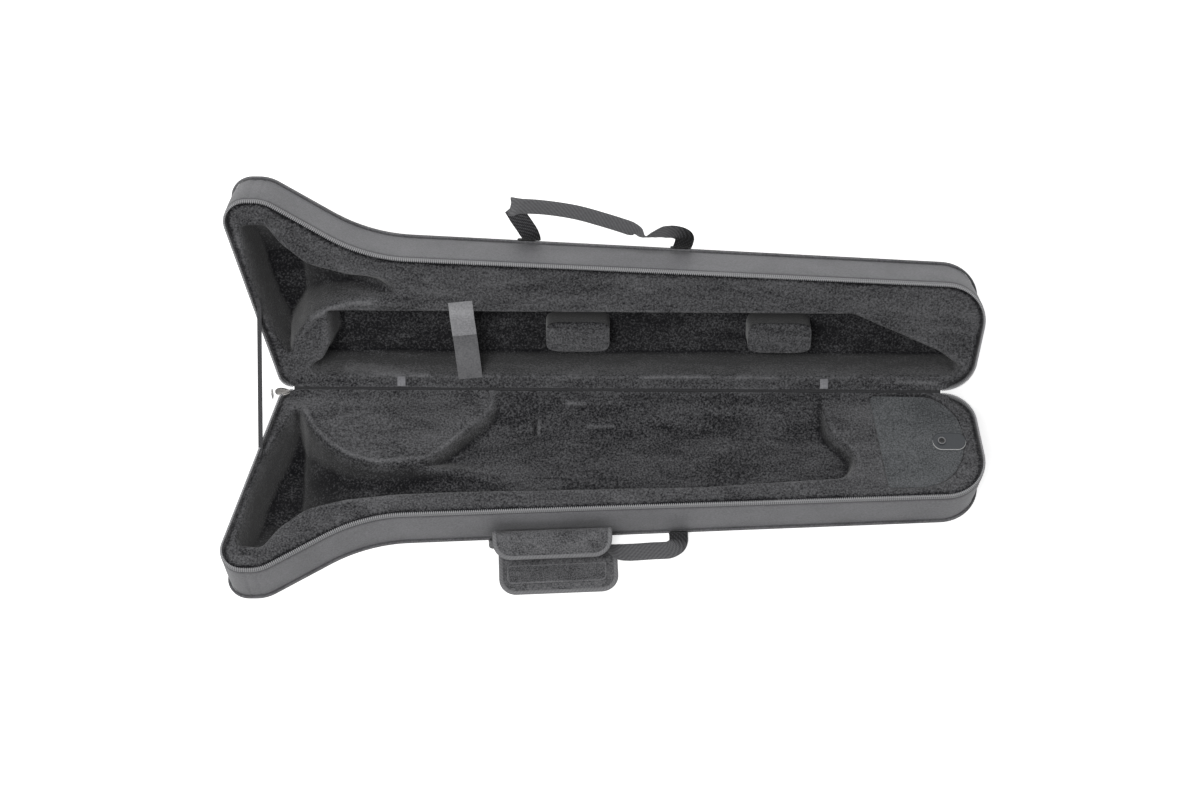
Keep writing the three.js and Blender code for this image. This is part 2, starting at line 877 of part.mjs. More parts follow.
function stayStrap() {
  const turn = radians(180 - openAngle);
  const lift = stayThickness / 2 + clearance - stayTabDrop;
  const across = new THREE.Vector3(1, 0, 0);
  const lidEnd = new THREE.Vector3(stayX, stayWidthPlace, lift).applyAxisAngle(across, turn);
  const baseEnd = new THREE.Vector3(stayX, -stayWidthPlace, lift);
  return band([{ place: baseEnd, across }, { place: lidEnd, across }], stayWidth, stayThickness, 8);
}

addToBase('stay_end_base', stayTab(), materials.webbing);
addToLid('stay_end_lid', stayTab(), materials.webbing);
addPiece(rimFrame, 'stay_strap', stayStrap(), materials.webbing);

// Zip slider at the bell end of the hinge, outside the rim, and the pull that hangs from it

const sliderX = bellEdgeX(sliderCentreWidth + sliderWidth / 2) - clearance;

function sliderBody() {
  const centre = [sliderX - sliderLength / 2, sliderCentreWidth, 0];
  const body = box(sliderLength, sliderWidth, sliderHeight, centre);
  const slotCentre = [sliderX, sliderCentreWidth + sliderWidth / 2, 0];
  return cut(body, box(2 * sliderSlotShare * sliderLength, sliderWidth, sliderSlot, slotCentre));
}

// The pull hangs from the slider's outer end in a plane square to the hinge line.
function pullPlate() {
  const outer = roundedPath([
    [-pullWidth / 2, 0, pullTopRadius],
    [-pullWidth / 2, pullLength, pullEndRadius],
    [pullWidth / 2, pullLength, pullEndRadius],
    [pullWidth / 2, 0, pullTopRadius],
  ]);
  const blank = plate(outer, () => 0, () => pullThickness);
  const holeRadius = (pullHoleShare * pullWidth) / 2;
  const hole = new THREE.CylinderGeometry(holeRadius, holeRadius, 2 * overrun, 14);
  hole.rotateX(radians(90)).translate(0, pullLength - pullWidth / 2, 0);
  const hanging = new THREE.Matrix4().makeBasis(
    new THREE.Vector3(0, 1, 0),
    new THREE.Vector3(0, 0, -1),
    new THREE.Vector3(-1, 0, 0),
  );
  const left = sliderX - sliderLength - clearance;
  return cut(blank, hole).applyMatrix4(hanging).translate(left, sliderCentreWidth, pullTopHeight);
}

addToBase('zip_slider', sliderBody(), materials.metal);
addToBase('zip_pull', pullPlate(), materials.metal);

// Webbing handles. Each is sewn into the seam of the outer panel by two short ends.

const anchorCentresX = [handleCentreX - handleSpan / 2, handleCentreX + handleSpan / 2];

function handleAnchor(centreX) {
  const [left, right] = [centreX - webbingWidth / 2, centreX + webbingWidth / 2];
  const inner = 2 * pipingRadius + 2 * clearance;
  const path = [
    [left, inner],
    [right, inner],
    [right, inner + webbingThickness],
    [left, inner + webbingThickness],
  ].map(([x, out]) => new THREE.Vector2(x, frontWidthAt(x) + out));
  return plate(path, overFloor(pipingLift), overFloor(pipingLift + anchorHeight));
}

// The front seam narrows towards the tail and slopes with the bottom.
const frontSlope = (tailWidth - flareWidth) / (tailCornerX - flareX);
const seamDirection = new THREE.Vector3(1, frontSlope, taper).normalize();

// Stations beside the seam: a place on it, square out from the front wall and up from the
// bottom. The way across the webbing is given along the seam, out and up.
function handleStation(x, out, lift, [along, outwards, up]) {
  const place = new THREE.Vector3(x - frontSlope * out, frontWidthAt(x) + out, lift - depthAt(x));
  const across = seamDirection.clone().multiplyScalar(along).add(new THREE.Vector3(0, outwards, up));
  return { place, across };
}

const anchorOut = 2 * pipingRadius + 2 * clearance + webbingThickness;
const endOut = anchorOut + clearance + webbingThickness / 2;

// The lid's handle stands out from the seam, folds over at its bell end and slumps to the tail.
const lidHandleShares = [
  [-0.5, 0, [1, 0, 0]],
  [-0.5, 0.1, [1, 0, 0]],
  [-0.53, 0.36, [1, 0.2, 0]],
  [-0.6, 0.78, [0.9, 0.5, 0.3]],
  [-0.585, 1, [0.5, 0.6, 0.6]],
  [-0.48, 0.97, [0, 0.85, 0.5]],
  [-0.18, 0.78, [0, 0.85, 0.5]],
  [0.12, 0.45, [0, 0.85, 0.5]],
  [0.27, 0.33, [0.3, 0.6, 0.7]],
  [0.42, 0.48, [0.8, 0.4, 0.5]],
  [0.5, 0.26, [1, 0.1, 0.1]],
  [0.5, 0.1, [1, 0, 0]],
  [0.5, 0, [1, 0, 0]],
];

function lidHandle() {
  const start = anchorOut + (lidHandleTurnShare * webbingThickness) / 2;
  const lift = pipingLift + anchorHeight / 2;
  const stations = lidHandleShares.map(([along, out, across]) =>
    handleStation(handleCentreX + along * handleSpan, start + out * lidHandleRise, lift, across),
  );
  return band(stations, webbingWidth, webbingThickness, 40);
}

addToBase('base_handle_anchor_1', handleAnchor(anchorCentresX[0]), materials.webbing);
addToBase('base_handle_anchor_2', handleAnchor(anchorCentresX[1]), materials.webbing);
addToLid('lid_handle_anchor_1', handleAnchor(anchorCentresX[0]), materials.webbing);
addToLid('lid_handle_anchor_2', handleAnchor(anchorCentresX[1]), materials.webbing);
addToLid('lid_handle_webbing', lidHandle(), materials.webbing);

function turnedAboutSeam(geometry, x, out, lift, degrees) {
  const { place } = handleStation(x, out, lift, [0, 0, 0]);
  const turn = new THREE.Matrix4().makeRotationAxis(seamDirection, radians(degrees));
  const [x0, y0, z0] = place.toArray();
  return geometry.translate(-x0, -y0, -z0).applyMatrix4(turn).translate(x0, y0, z0);
}

// A plate beside the front wall: its ends along x, its near and far edge out from the wall
function frontPlate(length, near, far, bottom, top, radius = 0) {
  const [left, right] = [wrapCentreX - length / 2, wrapCentreX + length / 2];
  const path = roundedPath([
    [left, frontWidthAt(left) + near],
    [right, frontWidthAt(right) + near],
    [right, frontWidthAt(right) + far, radius],
    [left, frontWidthAt(left) + far, radius],
  ]);
  return plate(path, overFloor(bottom), overFloor(top));
}

// Layers out from the wall: anchor, webbing behind the wrap, wrap, webbing of the grip
const spineNear = endOut + webbingThickness / 2 + clearance;
const spineFar = spineNear + wrapThickness;
const gripOut = spineFar + clearance + webbingThickness / 2;
const lowerFlapNear = gripOut + webbingThickness / 2 + clearance;
const gripLift = wrapFloorLift + wrapSpineHeight / 2;
const wrapEndX = wrapCentreX + wrapLength / 2;
const gripStartX = wrapCentreX - wrapLength / 2 + gripStartInset;
const flapTopLift = wrapFloorLift + wrapThickness;
const upperFlapLift = wrapFloorLift + wrapSpineHeight + clearance + wrapThickness / 2;
const upperFlapOut = spineFar;

function gripWebbing() {
  const upright = [0, 0, 1];
  const flat = [0, 1, 0];
  const twistStart = wrapEndX + gripTwistLength / 2;
  const stations = [
    handleStation(gripStartX, gripOut, gripLift, upright),
    handleStation((gripStartX + wrapEndX) / 2, gripOut, gripLift, upright),
    handleStation(wrapEndX, gripOut, gripLift, upright),
    handleStation(twistStart, gripOut, gripLift, upright),
    handleStation(twistStart + gripTwistLength, baseHandleReach, gripTwistLift, [0, 1, 0.4]),
    handleStation(gripEndX - gripFlatLength, baseHandleReach, gripFloorLift, flat),
    handleStation(gripEndX, baseHandleReach, gripFloorLift, flat),
  ];
  return band(stations, webbingWidth, webbingThickness, 24);
}

// The bell-end length doubles back behind the wrap to its anchor.
function bellEndWebbing() {
  const upright = [0, 0, 1];
  const anchorEndX = anchorCentresX[0] - webbingWidth / 2;
  const stations = [
    handleStation(gripStartX - clearance, gripOut, gripLift, upright),
    handleStation(gripStartX - curlRoundShare * curlLength, gripOut, gripLift, upright),
    handleStation(gripStartX - curlLength, (gripOut + endOut) / 2, gripLift, upright),
    handleStation(gripStartX - curlRoundShare * curlLength, endOut, gripLift, upright),
    handleStation(gripStartX, endOut, gripLift, upright),
    handleStation(anchorEndX, endOut, gripLift, upright),
  ];
  return band(stations, webbingWidth, webbingThickness, 20);
}

// Along the way to the anchor, and out from the wall as a share of the reach
const tailEndShares = [
  [0, 1, [0, 1, 0]],
  [0.12, 1, [0, 1, 0]],
  [0.36, 0.96, [0.35, 1, 0]],
  [0.75, 0.84, [1, 0.7, 0]],
];

// The tail-end length lies on the floor and turns up into its anchor.
function tailEndWebbing() {
  const start = gripEndX + clearance;
  const anchorX = anchorCentresX[1];
  const anchorTop = pipingLift + anchorHeight;
  const run = anchorX - start;
  const stations = tailEndShares.map(([along, reach, across]) =>
    handleStation(start + along * run, reach * baseHandleReach, gripFloorLift, across),
  );
  stations.push(
    handleStation(anchorX, endOut + 3 * webbingThickness, anchorTop / 3, [1, 0.1, 0]),
    handleStation(anchorX, endOut + webbingThickness / 2, anchorLapShare * anchorTop, [1, 0, 0]),
    handleStation(anchorX, endOut, anchorTop, [1, 0, 0]),
  );
  return band(stations, webbingWidth, webbingThickness, 20);
}

function upperFlap(geometry) {
  return turnedAboutSeam(geometry, wrapCentreX, upperFlapOut, upperFlapLift, wrapUpperAngle);
}

function wrapUpper() {
  const [bottom, top] = [upperFlapLift - wrapThickness / 2, upperFlapLift + wrapThickness / 2];
  const far = upperFlapOut + wrapUpperReach;
  return upperFlap(frontPlate(wrapLength, upperFlapOut, far, bottom, top, wrapCornerRadius));
}

function loopStrip() {
  const far = upperFlapOut + wrapUpperReach - fastenerMargin;
  const top = upperFlapLift - wrapThickness / 2 - clearance;
  const length = wrapLength - 2 * wrapCornerRadius;
  return upperFlap(frontPlate(length, far - fastenerWidth, far, top - fastenerThickness, top));
}

function hookStrip() {
  const far = lowerFlapNear + wrapLowerReach - fastenerMargin;
  const bottom = flapTopLift + clearance;
  const length = wrapLength - 2 * wrapCornerRadius;
  return frontPlate(length, far - fastenerWidth, far, bottom, bottom + fastenerThickness);
}

const spine = frontPlate(wrapLength, spineNear, spineFar, wrapFloorLift, wrapFloorLift + wrapSpineHeight);
const lowerFar = lowerFlapNear + wrapLowerReach;
const lowerReach = [lowerFlapNear, lowerFar, wrapFloorLift, flapTopLift];
const wrapLower = frontPlate(wrapLength, ...lowerReach, wrapCornerRadius);
addToBase('base_handle_grip', gripWebbing(), materials.webbing);
addToBase('base_handle_end_1', bellEndWebbing(), materials.webbing);
addToBase('base_handle_end_2', tailEndWebbing(), materials.webbing);
addToBase('handle_wrap_spine', spine, materials.nylon);
addToBase('handle_wrap_upper', wrapUpper(), materials.nylon);
addToBase('handle_wrap_lower', wrapLower, materials.nylon);
addToBase('wrap_loop_strip', loopStrip(), materials.trim);
addToBase('wrap_hook_strip', hookStrip(), materials.trim);

export default model;
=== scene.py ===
# %% [markdown]
# A soft trombone case, open, with its lid leaning back on a stay strap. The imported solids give
# the size and the place of every piece, and this lesson dresses them: nylon over a stiff wall,
# plush over moulded foam, felt, webbing, a zip and a padded handle wrap. Everything is in metres
# in the frame of the solids, so a dressed piece goes straight where its solid is.

# %% Load the frame
import math

import bmesh
import bpy
import numpy as np
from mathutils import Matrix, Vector


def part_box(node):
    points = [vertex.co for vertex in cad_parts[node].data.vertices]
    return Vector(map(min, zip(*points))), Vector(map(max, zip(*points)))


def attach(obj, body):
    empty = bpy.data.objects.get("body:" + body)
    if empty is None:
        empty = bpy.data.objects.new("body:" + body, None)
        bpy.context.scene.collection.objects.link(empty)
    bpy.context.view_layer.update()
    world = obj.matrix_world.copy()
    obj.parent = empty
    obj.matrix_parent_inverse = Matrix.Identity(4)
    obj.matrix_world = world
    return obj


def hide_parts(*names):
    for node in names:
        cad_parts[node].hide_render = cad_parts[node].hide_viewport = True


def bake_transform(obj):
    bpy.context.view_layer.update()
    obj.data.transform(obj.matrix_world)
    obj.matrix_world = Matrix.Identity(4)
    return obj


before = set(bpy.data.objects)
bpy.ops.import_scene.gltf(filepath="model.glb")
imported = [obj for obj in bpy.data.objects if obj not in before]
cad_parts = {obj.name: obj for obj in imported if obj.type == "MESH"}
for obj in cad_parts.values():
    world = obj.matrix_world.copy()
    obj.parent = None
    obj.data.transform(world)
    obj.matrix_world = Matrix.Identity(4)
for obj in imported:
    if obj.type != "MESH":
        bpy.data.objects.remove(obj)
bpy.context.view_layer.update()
MM = 0.001

# %% [markdown]
# The camera stands high in front of the case and looks down at 62 degrees, square to the hinge
# line, from a little over three metres. A long lens keeps both halves almost the same scale.

# %% Camera
HINGE = np.array([0.0, 0.085, 0.0907])
ELEVATION = math.radians(62.233)
DISTANCE = 3.383
CAMERA_DROP, CAMERA_SHIFT = 0.01376, 0.004845
LENS, SENSOR = 76.17, 36.0
forward = np.array([0.0, math.cos(ELEVATION), -math.sin(ELEVATION)])
upward = np.array([0.0, math.sin(ELEVATION), math.cos(ELEVATION)])
camera_data = bpy.data.cameras.new("camera")
camera_data.lens = LENS
camera_data.sensor_width = SENSOR
camera = bpy.data.objects.new("camera", camera_data)
camera.location = (HINGE - forward * DISTANCE - upward * CAMERA_DROP
                   + np.array([CAMERA_SHIFT, 0, 0]))
camera.rotation_euler = (math.pi / 2 - ELEVATION, 0.0, 0.0)
bpy.context.scene.collection.objects.link(camera)
bpy.context.scene.camera = camera
bpy.context.scene.view_settings.view_transform = "Standard"
print("camera at", [round(value, 3) for value in camera.location])


# %% [markdown]
# Every finish below is a small graph of nodes. One function adds a node, sets it up and links
# it, so that a material reads as a list. Colours are written as they look on a screen, in hex,
# and one function turns them into the linear numbers that the renderer adds up.

# %% Nodes and colours
def linear(hex_colour):
    """sRGB hex to linear: a twelfth-slope line near black and a power of 2.4 above it."""
    channels = np.array([int(hex_colour[i:i + 2], 16) for i in (1, 3, 5)]) / 255
    low = channels / 12.92
    high = ((channels + 0.055) / 1.055) ** 2.4
    return (*np.where(channels <= 0.04045, low, high).tolist(), 1.0)


def add(tree, kind, values=None, **settings):
    """Adds a node. Settings are its properties; values are input sockets, each set or linked."""
    made = tree.nodes.new(kind)
    for name, value in settings.items():
        setattr(made, name, value)
    for name, value in (values or {}).items():
        if isinstance(value, bpy.types.NodeSocket):
            tree.links.new(value, made.inputs[name])
        else:
            made.inputs[name].default_value = value
    return made


def maths(tree, operation, *values):
    """One step of arithmetic on numbers and sockets."""
    return add(tree, "ShaderNodeMath", dict(enumerate(values)), operation=operation).outputs[0]


def mixed(tree, share, *colours, clamp=True):
    """A colour between two, given in hex or as sockets. An unclamped share goes past them."""
    ends = [linear(colour) if isinstance(colour, str) else colour for colour in colours]
    return add(tree, "ShaderNodeMix", {0: share, 6: ends[0], 7: ends[1]}, data_type="RGBA",
               clamp_factor=clamp).outputs[2]


def noise(tree, vector, size_mm, detail, **values):
    """Soft grains size_mm across. The scale counts patterns in a metre."""
    return add(tree, "ShaderNodeTexNoise", {"Vector": vector, "Scale": 1 / (size_mm * MM),
                                            "Detail": detail, **values}).outputs["Fac"]


def bands(tree, vector, pitch_mm, direction, **values):
    """Even bands. A wave texture repeats every 2 pi / (20 scale), so that is the pitch."""
    scale = 2 * math.pi / (20 * pitch_mm * MM)
    return add(tree, "ShaderNodeTexWave", {"Vector": vector, "Scale": scale, **values},
               bands_direction=direction).outputs["Fac"]


def ranged(tree, value, low, high, to_low=0.0, to_high=1.0):
    """The range from low to high, laid over another range."""
    return add(tree, "ShaderNodeMapRange", {"Value": value, "From Min": low, "From Max": high,
                                            "To Min": to_low, "To Max": to_high}).outputs[0]


def relief(tree, height, strength, reach_mm):
    """Bump: a height tilts the normal."""
    return add(tree, "ShaderNodeBump", {"Height": height, "Strength": strength,
                                        "Distance": reach_mm * MM}).outputs[0]


def new_material(name):
    """A material with an empty node tree."""
    material = bpy.data.materials.new(name)
    material.use_nodes = True
    material.node_tree.nodes.clear()
    return material, material.node_tree


def surface(tree, colour, roughness, values):
    """A material's principled shader and the output that shows it."""
    shader = add(tree, "ShaderNodeBsdfPrincipled", {"Base Color": colour,
                                                    "Roughness": roughness, **values})
    add(tree, "ShaderNodeOutputMaterial", {"Surface": shader.outputs["BSDF"]})


# %% [markdown]
# The floor and the sky are white only where the camera or a mirror looks at them. For all other
# light they are a plain grey, so the case isn't lit from below by a glowing floor. The floor is
# a diffuse surface, so the case's soft shadow stays on it.

# %% Floor, world and lamps
FLOOR_SIZE, FLOOR_GLOW = 40.0, 0.55
FLOOR_GREY, SKY_GREY, WHITE = "#b4b4b4", "#929292", "#ffffff"


def seen_directly(tree, *kinds):
    """One where the camera or a mirror looks, nil for all other light."""
    rays = add(tree, "ShaderNodeLightPath").outputs
    seen = rays[f"Is {kinds[0]} Ray"]
    for kind in kinds[1:]:
        seen = maths(tree, "MAXIMUM", seen, rays[f"Is {kind} Ray"])
    return seen


# A painted studio floor: matt paint, so it has no gloss and takes a soft shadow.
floor_material, tree = new_material("painted_floor")
seen = seen_directly(tree, "Camera", "Glossy", "Transmission")
surface(tree, mixed(tree, seen, FLOOR_GREY, WHITE), 1.0, {
    "Specular IOR Level": 0.0, "Emission Color": linear(WHITE),
    "Emission Strength": maths(tree, "MULTIPLY", seen, FLOOR_GLOW)})

half = FLOOR_SIZE / 2
floor_mesh = bpy.data.meshes.new("floor")
floor_mesh.from_pydata([(-half, -half, 0), (half, -half, 0), (half, half, 0), (-half, half, 0)],
                       [], [(0, 1, 2, 3)])
floor_mesh.materials.append(floor_material)
floor = bpy.data.objects.new("floor", floor_mesh)
bpy.context.scene.collection.objects.link(floor)

world = bpy.data.worlds.new("studio")
bpy.context.scene.world = world
world.use_nodes = True
tree = world.node_tree
tree.nodes.clear()
sky_colour = mixed(tree, seen_directly(tree, "Camera", "Glossy"), SKY_GREY, WHITE)
sky = add(tree, "ShaderNodeBackground", {"Color": sky_colour, "Strength": 1.0})
add(tree, "ShaderNodeOutputWorld", {"Surface": sky.outputs[0]})


def softbox(name, place, target, size, power):
    """A square area lamp that faces its target."""
    data = bpy.data.lights.new(name, "AREA")
    data.shape = "SQUARE"
    data.size = size
    data.energy = power
    lamp = bpy.data.objects.new(name, data)
    lamp.location = place
    direction = Vector(target) - Vector(place)
    lamp.rotation_euler = direction.to_track_quat("-Z", "Y").to_euler()
    bpy.context.scene.collection.objects.link(lamp)


softbox("softbox_key", (-0.8, -1.5, 2.9), (0, 0.05, 0.1), 1.5, 66)
softbox("softbox_fill", (1.7, -0.2, 2.4), (0, 0.05, 0.1), 1.8, 7)
softbox("softbox_back", (0.0, 2.2, 2.3), (0, 0.2, 0.15), 1.4, 24)
print("floor", FLOOR_SIZE, "m across, world and three soft lamps")

# %% [markdown]
# The plan of the case at its rim is a polygon with rounded corners. Width is measured from the
# hinge line towards the handles. The bottom of each half isn't level with the rim: the case is
# deepest at the bell and shallowest at the tail, so the rim plane is tilted by the taper.

# %% Plan and frames
BELL_HINGE, TAIL_HINGE = -419.0, 501.0
BELL_CORNER, BELL_END_WIDTH, BELL_FRONT = -495.0, 264.0, -432.0
FLARE, FLARE_WIDTH = -303.0, 186.5
TAIL_CORNER, TAIL_WIDTH = 520.0, 151.0
CORNERS = [
    (BELL_HINGE, 0.0, 20.0),
    (BELL_CORNER, BELL_END_WIDTH, 30.0),
    (BELL_FRONT, BELL_END_WIDTH, 50.0),
    (FLARE, FLARE_WIDTH, 220.0),
    (TAIL_CORNER, TAIL_WIDTH, 55.0),
    (TAIL_HINGE, 0.0, 45.0),
]
BELL_DEPTH, TAIL_DEPTH = 97.0, 84.0
LEAN = 4.0
OPEN_TURN = math.radians(180 - 127)
ORIGIN_WIDTH = 85.0
CLEARANCE = 0.3
PANEL = 4.0
TAPER = (BELL_DEPTH - TAIL_DEPTH) / (TAIL_CORNER - BELL_CORNER)
TILT = math.atan(TAPER)
FRONT_SLOPE = (TAIL_WIDTH - FLARE_WIDTH) / (TAIL_CORNER - FLARE)


def depth_at(x):
    """The depth of a half, which falls evenly from the bell to the tail."""
    return BELL_DEPTH - TAPER * (x - BELL_CORNER)


def leaning(height, x):
    """The wall leans in towards its bottom: its lean grows in proportion to the drop."""
    return -LEAN * height / depth_at(x)


def front_width(x):
    """The plan's front edge between flare and tail is straight."""
    return FLARE_WIDTH + FRONT_SLOPE * (x - FLARE)


def from_rim_frame(points):
    """Millimetres over the rim plane to metres in the frame: a turn by the tilt about Y."""
    x, y, z = np.moveaxis(np.asarray(points, float), -1, 0)
    placed = np.stack([
        x * math.cos(TILT) + z * math.sin(TILT),
        y + ORIGIN_WIDTH,
        z * math.cos(TILT) - x * math.sin(TILT) + depth_at(0) * math.cos(TILT),
    ], axis=-1)
    return placed * MM


def on_base(points):
    """The base's width runs to -Y from the hinge line."""
    return from_rim_frame(np.asarray(points, float) * np.array([1, -1, 1]))


def opened(width, height):
    """The lid's width and height turned about the hinge line by its opening, as y and z."""
    return (width * math.cos(OPEN_TURN) - height * math.sin(OPEN_TURN),
            width * math.sin(OPEN_TURN) + height * math.cos(OPEN_TURN))


def on_lid(points):
    """The lid's plan and height, opened."""
    x, width, height = np.moveaxis(np.asarray(points, float), -1, 0)
    return from_rim_frame(np.stack([x, *opened(width, height)], axis=-1))


HALVES = (("base", on_base), ("lid", on_lid))
print("depth at the hinge's middle:", round(depth_at(0.0)), "mm")

# %% [markdown]
# Sheets and rims all follow the same plan. A rounded corner is an arc that touches both of its
# edges, and a path is then cut into equal steps. Its inward normal lets every layer of the shell
# be set in from the outline by its own distance.

# %% Paths
def rounded(corners, arc_steps=24):
    """Each corner's arc: its centre is on the bisector, radius / sin(half angle) away."""
    places = np.array([corner[:2] for corner in corners], float)
    parts = []
    for i, (x, y, radius) in enumerate(corners):
        corner = places[i]
        before = places[i - 1] - corner
        after = places[(i + 1) % len(corners)] - corner
        before /= np.linalg.norm(before)
        after /= np.linalg.norm(after)
        if radius == 0:
            parts.append(corner[None])
            continue
        half_angle = math.acos(np.clip(before @ after, -1, 1)) / 2
        bisector = (before + after) / np.linalg.norm(before + after)
        centre = corner + bisector * radius / math.sin(half_angle)
        start = corner + before * radius / math.tan(half_angle) - centre
        sign = np.sign(after[0] * before[1] - after[1] * before[0])
        turn = sign * np.linspace(0, math.pi - 2 * half_angle, arc_steps + 1)
        angle = math.atan2(start[1], start[0]) + turn
        parts.append(centre + radius * np.stack([np.cos(angle), np.sin(angle)], axis=1))
    return np.concatenate(parts)


def lengths_along(path):
    """Length travelled at each point of a path."""
    steps = np.linalg.norm(np.diff(path, axis=0), axis=1)
    return np.concatenate([[0], np.cumsum(steps)])


def girth(section):
    """Lengths travelled round a closed section, back to its start."""
    return lengths_along(np.vstack([section, section[:1]]))


def resample(path, shares):
    """Places at shares of a path's length."""
    travelled = lengths_along(path)
    wanted = np.asarray(shares) * travelled[-1]
    return np.stack([np.interp(wanted, travelled, column) for column in path.T], axis=-1)


def inward(path, closed):
    """The right-hand normal of a clockwise path, by central differences."""
    if closed:
        ahead = np.roll(path, -1, axis=0) - np.roll(path, 1, axis=0)
    else:
        ahead = np.gradient(path, axis=0)
    normal = np.stack([ahead[:, 1], -ahead[:, 0]], axis=1)
    return normal / np.linalg.norm(normal, axis=1, keepdims=True)


OUTLINE = rounded(CORNERS)
CLOSED_OUTLINE = np.vstack([OUTLINE, OUTLINE[:1]])
RIM_LENGTH = lengths_along(CLOSED_OUTLINE)[-1]
ZIP_LENGTH = lengths_along(OUTLINE)[-1]
print("round the rim:", round(RIM_LENGTH), "mm, of which the zip:", round(ZIP_LENGTH), "mm")


# %% [markdown]
# A mesh is built from whole arrays: a grid of points and the quads between its rows and columns.
# A tube is a grid whose columns close, with a cap over each end. Every body here is closed, so
# each of its faces can be turned to look out of it.

# %% Meshes
def turns(count):
    """Angles evenly once round."""
    return np.linspace(0, 2 * math.pi, count, endpoint=False)


def squared(wave, power):
    """A sine or cosine to a power below one, sign kept: it makes a circle a soft box."""
    return np.sign(wave) * np.abs(wave) ** power


def grid_quads(rows, columns, closed_rows=False, closed_columns=False):
    """Quads between neighbours, and the row and column of each corner before wrapping."""
    i, j = np.meshgrid(np.arange(rows if closed_rows else rows - 1),
                       np.arange(columns if closed_columns else columns - 1), indexing="ij")
    i, j = i.ravel(), j.ravel()
    row = np.stack([i, i + 1, i + 1, i], axis=1)
    column = np.stack([j, j, j + 1, j + 1], axis=1)
    return (row % rows) * columns + column % columns, row, column


def piece(name, points, quads, material, body, nodes=(), slot=None, caps=(), uv=None,
          tone=None, sharp=50):
    """A closed mesh in metres that stands for some solids and rides on a body, if one is given."""
    points = np.asarray(points, float).reshape(-1, 3)
    mesh = bpy.data.meshes.new(name)
    mesh.from_pydata(points.tolist(), [], quads.tolist() + [cap.tolist() for cap in caps])
    if uv is not None:
        flat = np.zeros((len(mesh.loops), 2))
        flat[:quads.size] = uv.reshape(-1, 2)
        mesh.uv_layers.new(name="cloth").data.foreach_set("uv", flat.ravel())
    if tone is not None:
        layer = mesh.attributes.new("tone", "FLOAT", "POINT")
        layer.data.foreach_set("value", np.asarray(tone, np.float32).ravel())
    skin = bmesh.new()
    skin.from_mesh(mesh)
    bmesh.ops.recalc_face_normals(skin, faces=skin.faces)
    skin.to_mesh(mesh)
    skin.free()
    mesh.polygons.foreach_set("use_smooth", np.ones(len(mesh.polygons), bool))
    mesh.set_sharp_from_angle(angle=math.radians(sharp))
    mesh.materials.append(material)
    made = bpy.data.objects.new(name, mesh)
    bpy.context.scene.collection.objects.link(made)
    if body:
        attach(made, body)
    if nodes:
        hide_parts(*nodes)
    print(f"{name}: {len(points)} points, {len(quads)} quads")
    return made


def tube(name, points, *where, ring=False, along=None, across=None, **looks):
    """Rows of closed columns, (rows, columns, 3), with a cap over each end unless a ring.

    along and across give the cloth's own map in millimetres, down the rows and round them."""
    rows, columns = points.shape[:2]
    quads, row, column = grid_quads(rows, columns, ring, True)
    caps = [] if ring else [np.arange(columns), (rows - 1) * columns + np.arange(columns)[::-1]]
    uv = None if along is None else np.stack([along[row], across[column]], axis=-1) * MM
    return piece(name, points, quads, *where, caps=caps, uv=uv, **looks)


def swept_ring(name, section, place, material, body, nodes, slot, count, closed=True):
    """A closed section of (inset, height) points carried round the outline.

    section(x, s) gives arrays of inset and height for each station, shape (count, points)."""
    shares = np.arange(count) / (count if closed else count - 1)
    plan = resample(CLOSED_OUTLINE if closed else OUTLINE, shares)
    normal = inward(plan, closed)
    inset, height = section(plan[:, 0], shares)
    points = np.dstack([plan[:, :1] + normal[:, :1] * inset,
                        plan[:, 1:] + normal[:, 1:] * inset, height])
    along = np.arange(count + 1) / count * (RIM_LENGTH if closed else ZIP_LENGTH)
    return tube(name, place(points), material, body, nodes, slot, ring=closed, along=along,
                across=girth(np.stack([inset[0], height[0]], axis=1)))


# %% [markdown]
# The outside of a soft case is polyester cloth in a plain weave, coated behind, with a low
# sheen. Its threads are half a millimetre apart, too fine for this view, so they are drawn at
# 1.6 mm. A broad, faint mottle stands for how the cloth lies over its stiff board.

# %% Woven polyester
MOTTLE_MM, GRAIN_MM = 55, 2.4
STITCH_PITCH, STITCH_FOOT = 2.6, 4.6
# The seam's colour is painted shade, for the groove where the tape is sewn to the wall.
STITCH_PALE, SEAM_SHADE = "#a0a0a2", "#1c1c1e"


def stitched(tree, cloth_map, colour, seam_mm):
    """Tape of a coil zip: painted shade as a dark band at its foot, where it is sewn to the wall,
    and a row of the coil's stitches above it.
    """
    up = add(tree, "ShaderNodeSeparateXYZ", {0: cloth_map}).outputs["Y"]
    tick = maths(tree, "MULTIPLY", bands(tree, cloth_map, STITCH_PITCH, "X"),
                 maths(tree, "GREATER_THAN", up, STITCH_FOOT * MM))
    foot = maths(tree, "LESS_THAN", up, seam_mm * MM)
    return mixed(tree, foot, mixed(tree, tick, colour, STITCH_PALE), SEAM_SHADE)


def cloth_material(name, dark, light, thread_mm, bump_mm, roughness, sheen, seam_mm=0.0):
    """Plain weave: the product of two bands across each other, on the cloth's own map."""
    material, tree = new_material(name)
    place = add(tree, "ShaderNodeTexCoord").outputs
    weave = maths(tree, "MULTIPLY", *(bands(tree, place["UV"], thread_mm, way) for way in "XY"))
    mottle = noise(tree, place["Object"], MOTTLE_MM, 4.0)
    grain = noise(tree, place["Object"], GRAIN_MM, 2.0)
    share = ranged(tree, maths(tree, "MULTIPLY_ADD", grain, 1.6, mottle), 0.9, 1.7)
    colour = mixed(tree, share, dark, light)
    if seam_mm:
        colour = stitched(tree, place["UV"], colour, seam_mm)
    surface(tree, colour, roughness, {"Normal": relief(tree, weave, 0.5, bump_mm),
                                      "Sheen Weight": sheen, "Specular IOR Level": 0.35})
    return material


